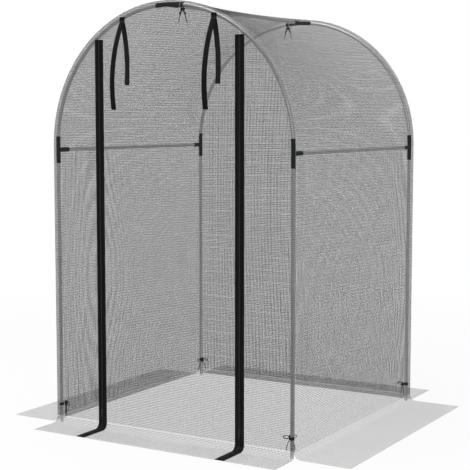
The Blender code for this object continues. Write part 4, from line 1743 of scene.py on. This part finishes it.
@dataclass
class RollStraps:
    """Webbing straps that hold the rolled door, one pair on each side of it."""

    wardrobe: Wardrobe
    offset: float = 0.232
    width: float = 0.025
    thickness: float = 0.0015
    edge_share: float = 0.35
    hinge_height: float = 1.80599
    outer_y: float = -0.612209
    inner_y: float = -0.608909
    outer_length: float = 0.377
    inner_length: float = 0.270
    outer_bulge: float = 0.075
    inner_bulge: float = 0.033
    bulge_place: float = 0.72
    hem_length: float = 0.020
    hem_share: float = 0.985
    hem_steps: int = 3
    root_height: float = 0.020
    root_share: float = 0.9
    root_gap: float = 0.0002
    root_edge: float = 0.0003
    stitch_margin: float = 0.0028
    stitch_width: float = 0.0007
    stitch_sink: float = 0.72
    stitch_rise: float = 1.39
    steps: int = 28

    def length(self, place: StrapPlace) -> float:
        """Length of the strap outside or inside the net."""
        return self.outer_length if place is StrapPlace.OUTER else self.inner_length

    def line(self, x: float, place: StrapPlace, shares: np.ndarray) -> np.ndarray:
        """Points down the middle of a strap.

        Args:
            x: The strap's X.
            place: Outside or inside the net.
            shares: Shares of its length, from its top.

        Returns:
            The points.
        """
        outer = place is StrapPlace.OUTER
        start, bulge = (
            (self.outer_y, -self.outer_bulge) if outer else (self.inner_y, self.inner_bulge)
        )
        y = start + bulge * (1 - (1 - shares / self.bulge_place) ** 2)
        height = self.hinge_height - shares * self.length(place)
        return np.stack([x + 0 * shares, y, height], axis=1)

    def ribbon(self, sweep: Sweep, centres: np.ndarray, width: float, lift: float) -> None:
        """Sweep a flat ribbon with rounded edges down a strap's line.

        Args:
            sweep: Collects the ribbon.
            centres: Points down its middle.
            width: Its width.
            lift: How far it stands off the line, outwards.
        """
        half, thin = width / 2, self.thickness / 2
        flat, edge = half - thin, thin * self.edge_share
        outline = np.array([
            [-half, -edge], [-flat, -thin], [0.0, -thin], [flat, -thin], [half, -edge],
            [half, edge], [flat, thin], [0.0, thin], [-flat, thin], [-half, edge],
        ])
        across = np.tile([[1.0, 0.0, 0.0]], (len(centres), 1))
        normals = unit(np.cross(tangents_of(centres), across))
        sweep.add(centres + normals * lift, across, normals, outline)

    def strap(self, name: str, x: float, place: StrapPlace) -> Piece:
        """One strap with its turned-up hem.

        Args:
            name: Name of the piece.
            x: The strap's X.
            place: Outside or inside the net.

        Returns:
            The strap.
        """
        sweep = Sweep()
        self.ribbon(sweep, self.line(x, place, np.linspace(0, 1, self.steps + 1)), self.width, 0.0)
        hem_start = 1 - self.hem_length / self.length(place)
        hem = self.line(x, place, np.linspace(hem_start, 1.0, self.hem_steps + 1))
        lift = self.thickness if place is StrapPlace.OUTER else -self.thickness
        self.ribbon(sweep, hem, self.width * self.hem_share, lift)
        return sweep.piece(name)

    def root(self, name: str, x: float, place: StrapPlace) -> Piece:
        """Sewn end of a strap, flat on the net over its hinge, with a square of stitching.

        Args:
            name: Name of the piece.
            x: The strap's X.
            place: Outside or inside the net.

        Returns:
            The sewn end.
        """
        y = self.outer_y if place is StrapPlace.OUTER else self.inner_y
        low = self.hinge_height + self.thickness / 2 + self.root_gap
        extent = (self.width, self.thickness * self.root_share, self.root_height)
        root = start_block(name, (x, y, low + self.root_height / 2), extent)
        edit_where(root, lambda face: abs(face.normal.y) > FACING)
        bpy.ops.mesh.inset(thickness=self.stitch_margin)
        for depth in (self.stitch_sink, self.stitch_rise):
            bpy.ops.mesh.inset(thickness=self.stitch_width)
            resize((1.0, depth, 1.0), (x, y, low))
        leave_edit()
        round_edges(root, self.root_edge, least=60)
        tidy_mesh(root, smooth_below=40)
        return root

    def build(self) -> None:
        """Make all four straps."""
        webbing = self.wardrobe.webbing
        for side in Side:
            for place in StrapPlace:
                x = side.value * self.offset
                node = f"strap_{place.value}_{side.word}"
                root = self.root(f"{node}_root", x, place)
                finish_piece(root, "cage", webbing)
                piece = self.strap(f"{node}_webbing", x, place)
                tidy_mesh(piece, smooth_below=40)
                body = f"{place.value}_strap_{side.word}"
                finish_piece(piece, body, webbing, [node])
                size = (self.width, self.length(place) + self.hem_length)


# Ties


@dataclass(frozen=True)
class Bow:
    """The two loops of one bow."""

    length: float
    width: float
    tilt: float
    flat: bool


@dataclass
class TieBows:
    """Laces tied in bows round the tubes, at each foot and beside each top connector."""

    wardrobe: Wardrobe
    height: float = 0.085
    apex_angle: float = 0.120
    leg_bow: Bow = Bow(0.032, 0.012, math.radians(65), flat=True)
    apex_bow: Bow = Bow(0.026, 0.0046, math.radians(40), flat=False)
    lace: float = 0.0033
    lace_sides: int = 8
    turns: int = 3
    turn_steps: int = 20
    wrap_start: Place = (0.3, 0.9, 0.2)
    wrap_width: float = 0.017
    wrap_thickness: float = 0.0019
    wrap_share: float = 0.52
    knot_radius: float = 0.0102
    knot_steps: int = 48
    knot_ring: float = 2.0
    knot_winds: int = 2
    knot_lobes: int = 3
    knot_lift: float = 1.3
    knot_share: float = 0.85
    least_up: float = 0.1
    open_angle: float = math.radians(34)
    loop_stations: int = 25
    tail_steps: int = 11
    tail_length: float = 0.055
    tail_spread: float = 0.019

    def wrap(self, name: str, centre: Vector, axis: Vector) -> Piece:
        """Turns of flattened lace round a tube.

        Args:
            name: Name of the piece.
            centre: Middle of the turns, on the tube's axis.
            axis: Direction of the tube.

        Returns:
            The turns.
        """
        along = np.array(axis.normalized())
        side = unit(np.cross(along, [self.wrap_start]))[0]
        turn = np.linspace(0, self.turns * FULL_TURN, self.turns * self.turn_steps + 1)
        out = np.outer(np.cos(turn), side) + np.outer(np.sin(turn), np.cross(along, side))
        pitch = self.wrap_width / (self.turns + 1)
        rise = (turn / FULL_TURN - self.turns / 2) * pitch
        radius = SIZES.bore_radius + self.wrap_thickness / 2
        centres = np.array(centre) + out * radius + np.outer(rise, along)
        half = pitch * self.wrap_share
        outline = round_outline(half, self.lace_sides, self.wrap_thickness / 2 / half)
        return Sweep().add(centres, across_path(centres, out), out, outline).piece(name)

    def knot(self, name: str, centre: Vector, heading: Vector) -> Piece:
        """Knot of one lace, wound over and under itself.

        Args:
            name: Name of the piece.
            centre: Middle of the knot.
            heading: Direction in which it faces.

        Returns:
            The knot.
        """
        turn = np.linspace(0, FULL_TURN, self.knot_steps + 1)
        out = self.knot_ring + np.cos(self.knot_lobes * turn)
        scale = (self.knot_radius - self.lace / 2) / (self.knot_ring + 1)
        facing = np.array(heading.normalized())
        up = np.array(UP) - facing * facing[2]
        length = np.linalg.norm(up)
        up = up / length if length > self.least_up else np.array([1.0, 0.0, 0.0])
        wound = self.knot_winds * turn
        sideways = np.outer(out * np.cos(wound), np.cross(facing, up))
        upwards = np.outer(out * np.sin(wound), up)
        lift = np.outer(self.knot_lift * np.sin(self.knot_lobes * turn), facing)
        centres = np.array(centre) + scale * (sideways + upwards + lift)
        across, normals = carried_frame(centres, facing)
        outline = round_outline(self.lace * self.knot_share, self.lace_sides)
        return Sweep().add(centres, across, normals, outline).piece(name)

    def lace_path(
        self, knot: Vector, direction: Vector, opening: Vector, sideward: Vector, bow: Bow,
    ) -> np.ndarray:
        """Way of one half of the lace: round its loop, back through the knot and down its tail.

        Args:
            knot: Middle of the knot.
            direction: Way in which the loop points.
            opening: Way in which the loop is wide.
            sideward: Way in which the tail drifts.
            bow: The bow's loops.

        Returns:
            Points along the way.
        """
        turn = np.linspace(self.open_angle, FULL_TURN - self.open_angle, self.loop_stations)
        away = np.outer(bow.length * (1 - np.cos(turn)) / 2, direction)
        apart = np.outer(bow.width * np.sin(turn) / 2, opening)
        share = np.linspace(0, 1, self.tail_steps + 1)[1:]
        drift = np.outer(self.tail_spread * np.sin(share * QUARTER_TURN), sideward)
        tail = drift - np.outer(self.tail_length * share, UP)
        start = np.zeros((1, 3))
        return np.array(knot) + np.concatenate([start, away + apart, start, tail])

    def finish(self, piece: Piece, *replaced: str) -> None:
        """Tidy and dress one piece of a tie."""
        tidy_mesh(piece, smooth_below=50)
        finish_piece(piece, "cage", self.wardrobe.lace, replaced)

    def tie(
        self, node: str, centre: Vector, axis: Vector, heading: Vector, sideward: Vector, bow: Bow,
    ) -> None:
        """Make one tie: wrap, knot and the two halves of its lace.

        Args:
            node: CAD node that it stands for.
            centre: Middle of the wrap, on the tube's axis.
            axis: Direction of the tube.
            heading: Direction from the tube to the knot.
            sideward: Direction from one loop to the other.
            bow: The bow's loops, which are wide upwards where they are flat.
        """
        self.finish(self.wrap(f"{node}_wrap", centre, axis), node)
        middle = centre + heading * (SIZES.bore_radius + self.knot_radius)
        knot = self.knot(f"{node}_knot", middle, heading)
        self.finish(knot)
        for side in Side:
            lean = sideward * (side.value * math.sin(bow.tilt))
            direction = heading * math.cos(bow.tilt) + lean
            opening = UP if bow.flat else direction.cross(Vector((0, 1, 0)))
            path = self.lace_path(middle, direction, opening, sideward * side.value, bow)
            across, normals = carried_frame(path, direction.cross(opening))
            outline = round_outline(self.lace / 2, self.lace_sides)
            sweep = Sweep().add(path, across, normals, outline)
            lace = sweep.piece(f"{node}_lace_{side.word}")
            self.finish(lace)

    def build(self) -> None:
        """Make all six ties."""
        for row in Row:
            y = row.value * SIZES.half_depth
            for side in Side:
                centre = Vector((side.value * SIZES.half_width, y, self.height))
                heading = Vector((-side.value, -row.value, 0)).normalized()
                node = f"tie_{row.word}_{side.word}"
                self.tie(node, centre, UP, heading, heading.cross(UP), self.leg_bow)
            x = -row.value * math.sin(self.apex_angle)
            outward = Vector((x, 0, math.cos(self.apex_angle)))
            centre = Vector((0, y, SIZES.leg_height)) + outward * SIZES.half_width
            axis = Vector((outward.z, 0, -outward.x))
            node = f"tie_apex_{row.word}"
            self.tie(node, centre, axis, -UP, Vector((1, 0, 0)), self.apex_bow)


# Tubes and connectors


@dataclass
class HoopFrame:
    """Steel tubes: legs, arches, braces and ridge."""

    wardrobe: Wardrobe
    stop: float = 0.0043
    end_gap: float = 0.0103
    sides: int = 36
    lengths: int = 4
    arch_segments: int = 40

    def tube(self, name: str, start: Vector, end: Vector) -> Piece:
        """Straight hollow tube.

        Args:
            name: Name of the piece.
            start: Middle of one end.
            end: Middle of the other end.

        Returns:
            The tube.
        """
        run = end - start
        piece = start_bar(name, self.sides, SIZES.tube_radius, start, run, closed=False)
        for _ in range(self.lengths):
            extrude(run / self.lengths)
        self.give_wall(piece)
        return piece

    def level_tube(self, name: str, x: float, height: float) -> Piece:
        """Tube that runs from the front hoop to the back one.

        Args:
            name: Name of the piece.
            x: X of its axis.
            height: Height of its axis.

        Returns:
            The tube.
        """
        reach = SIZES.half_depth - self.end_gap
        return self.tube(name, Vector((x, -reach, height)), Vector((x, reach, height)))

    def arch(self, name: str, row: Row, side: Side) -> Piece:
        """Quarter-circle hollow tube from a side connector to the top one.

        Args:
            name: Name of the piece.
            row: Which hoop.
            side: Which half of it.

        Returns:
            The tube.
        """
        y, low = row.value * SIZES.half_depth, SIZES.tee_height + self.stop
        foot = Vector((side.value * SIZES.half_width, y, low))
        piece = start_bar(name, self.sides, SIZES.tube_radius, foot, UP, closed=False)
        extrude((0.0, 0.0, SIZES.leg_height - low))
        bpy.ops.mesh.spin(
            steps=self.arch_segments, angle=QUARTER_TURN - self.stop / SIZES.half_width,
            center=(0.0, y, SIZES.leg_height), axis=(0.0, side.value, 0.0),
        )
        self.give_wall(piece)
        return piece

    def give_wall(self, piece: Piece) -> None:
        """Turn a tube's skin outwards and give it its wall.

        Args:
            piece: The tube.
        """
        tidy_mesh(piece)
        apply_modifier(piece, "SOLIDIFY", thickness=SIZES.tube_wall, offset=-1.0)
        tidy_mesh(piece)

    def finish(self, piece: Piece, node: str) -> None:
        """Dress a tube in place of its CAD node."""
        finish_piece(piece, "cage", self.wardrobe.steel, [node])

    def build(self) -> None:
        """Make all the tubes."""
        tee = SIZES.tee_height
        for row in Row:
            for side in Side:
                x, y = side.value * SIZES.half_width, row.value * SIZES.half_depth
                name = f"{row.word}_{side.word}"
                foot, top = Vector((x, y, 0)), Vector((x, y, tee - self.stop))
                self.finish(self.tube(f"leg_{name}_tube", foot, top), f"leg_{name}")
                self.finish(self.arch(f"arch_{name}", row, side), f"arch_tube_{name}")
        for side in Side:
            brace = self.level_tube(f"brace_{side.word}", side.value * SIZES.half_width, tee)
            self.finish(brace, f"brace_tube_{side.word}")
        self.finish(self.level_tube("ridge", 0.0, SIZES.ridge_height), "ridge_tube")


@dataclass
class Connectors:
    """Moulded connectors that join the tubes."""

    wardrobe: Wardrobe
    radius: float = 0.0097
    sleeve: float = 0.120
    branch: float = 0.070
    mouth: float = 0.0008
    core_length: float = 0.75
    core_share: float = 0.9
    crest_place: float = 0.95
    crest_height: float = 0.00035
    fade_length: float = 0.003
    fade_height: float = 0.00012
    flare_length: float = 0.007
    sides: int = 40
    side_steps: int = 5
    top_steps: int = 10
    most_corners: int = 8

    def bend_sleeve(self, sleeve: Piece, y: float, angle: float, steps: int, turn: int) -> None:
        """Bend a sleeve's open end along its hoop and round both mouths.

        Args:
            sleeve: The sleeve, with its open end selected in edit mode.
            y: The hoop's Y.
            angle: How far it bends.
            steps: Number of steps in the bend.
            turn: 1 to bend from the right, -1 from the left.
        """
        bpy.ops.mesh.spin(
            steps=steps, angle=angle, center=(0.0, y, SIZES.leg_height), axis=(0.0, turn, 0.0),
        )
        tidy_mesh(sleeve)
        edit_where(sleeve, lambda face: len(face.vertices) > self.most_corners)
        bpy.ops.mesh.bevel(offset=self.mouth, segments=2)
        leave_edit()

    def add_branch(self, body: Piece, centre: Vector, inward: Vector) -> None:
        """Unite the branch and its flared root with a sleeve.

        Args:
            body: The sleeve.
            centre: Where the branch's axis meets the sleeve's.
            inward: Direction of the branch.
        """
        r, end = self.radius, self.branch
        core, root = r * self.core_share, r + self.flare_length
        rows = [
            (0.0, core), (r * self.core_length, core),
            (r * self.crest_place, r + self.crest_height),
            (root - self.fade_length, r + self.fade_height),
            (root, r), (end - self.mouth, r), (end, r - self.mouth),
        ]
        branch = start_bar(f"{body.name}_branch", self.sides, core, centre, inward)
        for (low, small), (high, large) in zip(rows, rows[1:]):
            extrude(inward * (high - low))
            if large != small:
                resize([large / small] * 3, centre + inward * high)
        tidy_mesh(branch)
        join_solid(body, branch)
        tidy_mesh(body, smooth_below=30)

    def side_connector(self, name: str, row: Row, side: Side) -> Piece:
        """Connector between a leg, an arch tube and a brace.

        Args:
            name: Name of the piece.
            row: Which hoop.
            side: Which side of it.

        Returns:
            The connector.
        """
        x, y, z = side.value * SIZES.half_width, row.value * SIZES.half_depth, SIZES.tee_height
        low = z - self.sleeve / 2
        straight = SIZES.leg_height - low
        body = start_bar(name, self.sides, self.radius, Vector((x, y, low)), UP)
        extrude((0.0, 0.0, straight))
        bend = (self.sleeve - straight) / SIZES.half_width
        self.bend_sleeve(body, y, bend, self.side_steps, side.value)
        self.add_branch(body, Vector((x, y, z)), Vector((0, -row.value, 0)))
        return body

    def top_connector(self, name: str, row: Row) -> Piece:
        """Connector between two arch tubes and the ridge.

        Args:
            name: Name of the piece.
            row: Which hoop.

        Returns:
            The connector.
        """
        y, arch = row.value * SIZES.half_depth, SIZES.half_width
        low = -self.sleeve / 2 / arch
        way = Vector((math.cos(low), 0, -math.sin(low)))
        start = Vector((arch * math.sin(low), y, SIZES.leg_height + arch * math.cos(low)))
        body = start_bar(name, self.sides, self.radius, start, way)
        self.bend_sleeve(body, y, -2 * low, self.top_steps, Side.LEFT.value)
        self.add_branch(body, Vector((0, y, SIZES.ridge_height)), Vector((0, -row.value, 0)))
        return body

    def build(self) -> None:
        """Make all six connectors."""
        plastic = self.wardrobe.connector
        for row in Row:
            for side in Side:
                name = f"{row.word}_{side.word}"
                piece = self.side_connector(f"connector_{name}", row, side)
                finish_piece(piece, "cage", plastic, [f"side_tee_{name}"])
            piece = self.top_connector(f"connector_apex_{row.word}", row)
            finish_piece(piece, "cage", plastic, [f"apex_tee_{row.word}"])


# Studio


@dataclass(frozen=True)
class Lamp:
    """A soft square lamp that faces the cage: name, place, side length and watts."""

    name: str
    place: Place
    size: float
    power: float


@dataclass
class Studio:
    """Pale floor, white surroundings, soft lamps and the camera."""

    camera_place: Place = (2.881, -4.945, 1.395)
    yaw: float = math.radians(-30.715)
    pitch: float = math.radians(-5.535)
    lens: float = 92.62
    sight: float = 200.0
    floor_reach: float = 60.0
    floor_drop: float = 0.0004
    floor_tone: Tone = (0.90, 0.90, 0.90)
    floor_roughness: float = 0.9
    floor_glow: float = 0.90
    shadow_reach: Span = (1.8, 4.5)
    ambient: float = 0.50
    aim_height: float = 0.8
    lamps: tuple[Lamp, ...] = (
        Lamp("lamp_above", place=(-0.6, -0.8, 5.0), size=3.5, power=150.0),
        Lamp("lamp_front", place=(3.2, -4.2, 2.6), size=2.5, power=60.0),
    )

    def see_white(self, nodes: Nodes, glow: object) -> Socket:
        """Strength that is given to camera, glossy and transmission rays only.

        Args:
            nodes: Tree to build in.
            glow: The strength.

        Returns:
            The output.
        """
        rays = nodes.add("ShaderNodeLightPath").outputs
        seen = nodes.maths("MAXIMUM", rays["Is Camera Ray"], rays["Is Glossy Ray"])
        seen = nodes.maths("MAXIMUM", seen, rays["Is Transmission Ray"])
        return nodes.maths("MULTIPLY", seen, glow)

    def build_floor(self) -> None:
        """Lay the floor, which stays pale and keeps a faint shadow."""
        floor = start_from(
            "studio_floor", bpy.ops.mesh.primitive_plane_add, size=self.floor_reach,
            location=(0, 0, -self.floor_drop),
        )
        material = bpy.data.materials.new("pale floor")
        material.use_nodes = True
        nodes = Nodes(material.node_tree)
        output = material.node_tree.nodes["Material Output"]
        shader = material.node_tree.nodes["Principled BSDF"]
        shader.inputs["Base Color"].default_value = colour(self.floor_tone)
        shader.inputs["Roughness"].default_value = self.floor_roughness
        shader.inputs["Specular IOR Level"].default_value = 0.0
        place = nodes.add("ShaderNodeTexCoord")
        distance = nodes.add("ShaderNodeVectorMath", operation="LENGTH")
        nodes.feed(distance.inputs[0], place.outputs["Object"])
        white = nodes.spread(distance.outputs["Value"], self.shadow_reach, (self.floor_glow, 1.0))
        glow = nodes.add("ShaderNodeEmission")
        mix = nodes.add("ShaderNodeMixShader")
        parts = (self.see_white(nodes, white), shader.outputs[0], glow.outputs[0])
        for socket, part in zip(mix.inputs, parts):
            nodes.feed(socket, part)
        nodes.feed(output.inputs["Surface"], mix.outputs[0])
        floor.data.materials.append(material)

    def build_world(self) -> None:
        """Surround the scene with white, at a plain level for the light that it gives."""
        world = bpy.data.worlds.new("white studio")
        bpy.context.scene.world = world
        world.use_nodes = True
        nodes = Nodes(world.node_tree)
        background = world.node_tree.nodes["Background"]
        background.inputs["Color"].default_value = colour((1.0, 1.0, 1.0))
        seen = self.see_white(nodes, 1.0 - self.ambient)
        nodes.feed(background.inputs["Strength"], nodes.maths("ADD", seen, self.ambient))

    def hang(self, name: str, data: bpy.types.ID, place: Place, aim: Vector) -> Piece:
        """Put a lamp or a camera in the scene.

        Args:
            name: Name of the object.
            data: Its lamp or camera data.
            place: Where it hangs.
            aim: Direction in which it looks.

        Returns:
            The object.
        """
        thing = bpy.data.objects.new(name, data)
        bpy.context.scene.collection.objects.link(thing)
        thing.location = place
        thing.rotation_euler = aim.to_track_quat("-Z", "Y").to_euler()
        return thing

    def build_lamp(self, lamp: Lamp) -> None:
        """Hang one lamp.

        Args:
            lamp: The lamp.
        """
        data = bpy.data.lights.new(lamp.name, "AREA")
        data.size, data.energy = lamp.size, lamp.power
        self.hang(lamp.name, data, lamp.place, UP * self.aim_height - Vector(lamp.place))

    def build_camera(self) -> None:
        """Set the camera at the photographed view."""
        data = bpy.data.cameras.new("main")
        data.lens, data.clip_end = self.lens, self.sight
        level = math.cos(self.pitch)
        x, y = math.sin(self.yaw) * level, math.cos(self.yaw) * level
        aim = Vector((x, y, math.sin(self.pitch)))
        bpy.context.scene.camera = self.hang("main", data, self.camera_place, aim)

    def build(self) -> None:
        """Make the camera, the lights and the floor."""
        bpy.context.scene.view_settings.view_transform = "Standard"
        self.build_camera()
        self.build_world()
        self.build_floor()
        for lamp in self.lamps:
            self.build_lamp(lamp)


def main() -> None:
    """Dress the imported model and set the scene."""
    logging.basicConfig(level=logging.INFO, format="%(name)s: %(message)s")
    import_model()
    wardrobe = Wardrobe()
    Studio().build()
    TieBows(wardrobe).build()
    HoopFrame(wardrobe).build()
    Connectors(wardrobe).build()
    NetCover(wardrobe).build()
    ZipFasteners(wardrobe).build()
    RollStraps(wardrobe).build()
    clear_selection()


if __name__ == "__main__":
    main()
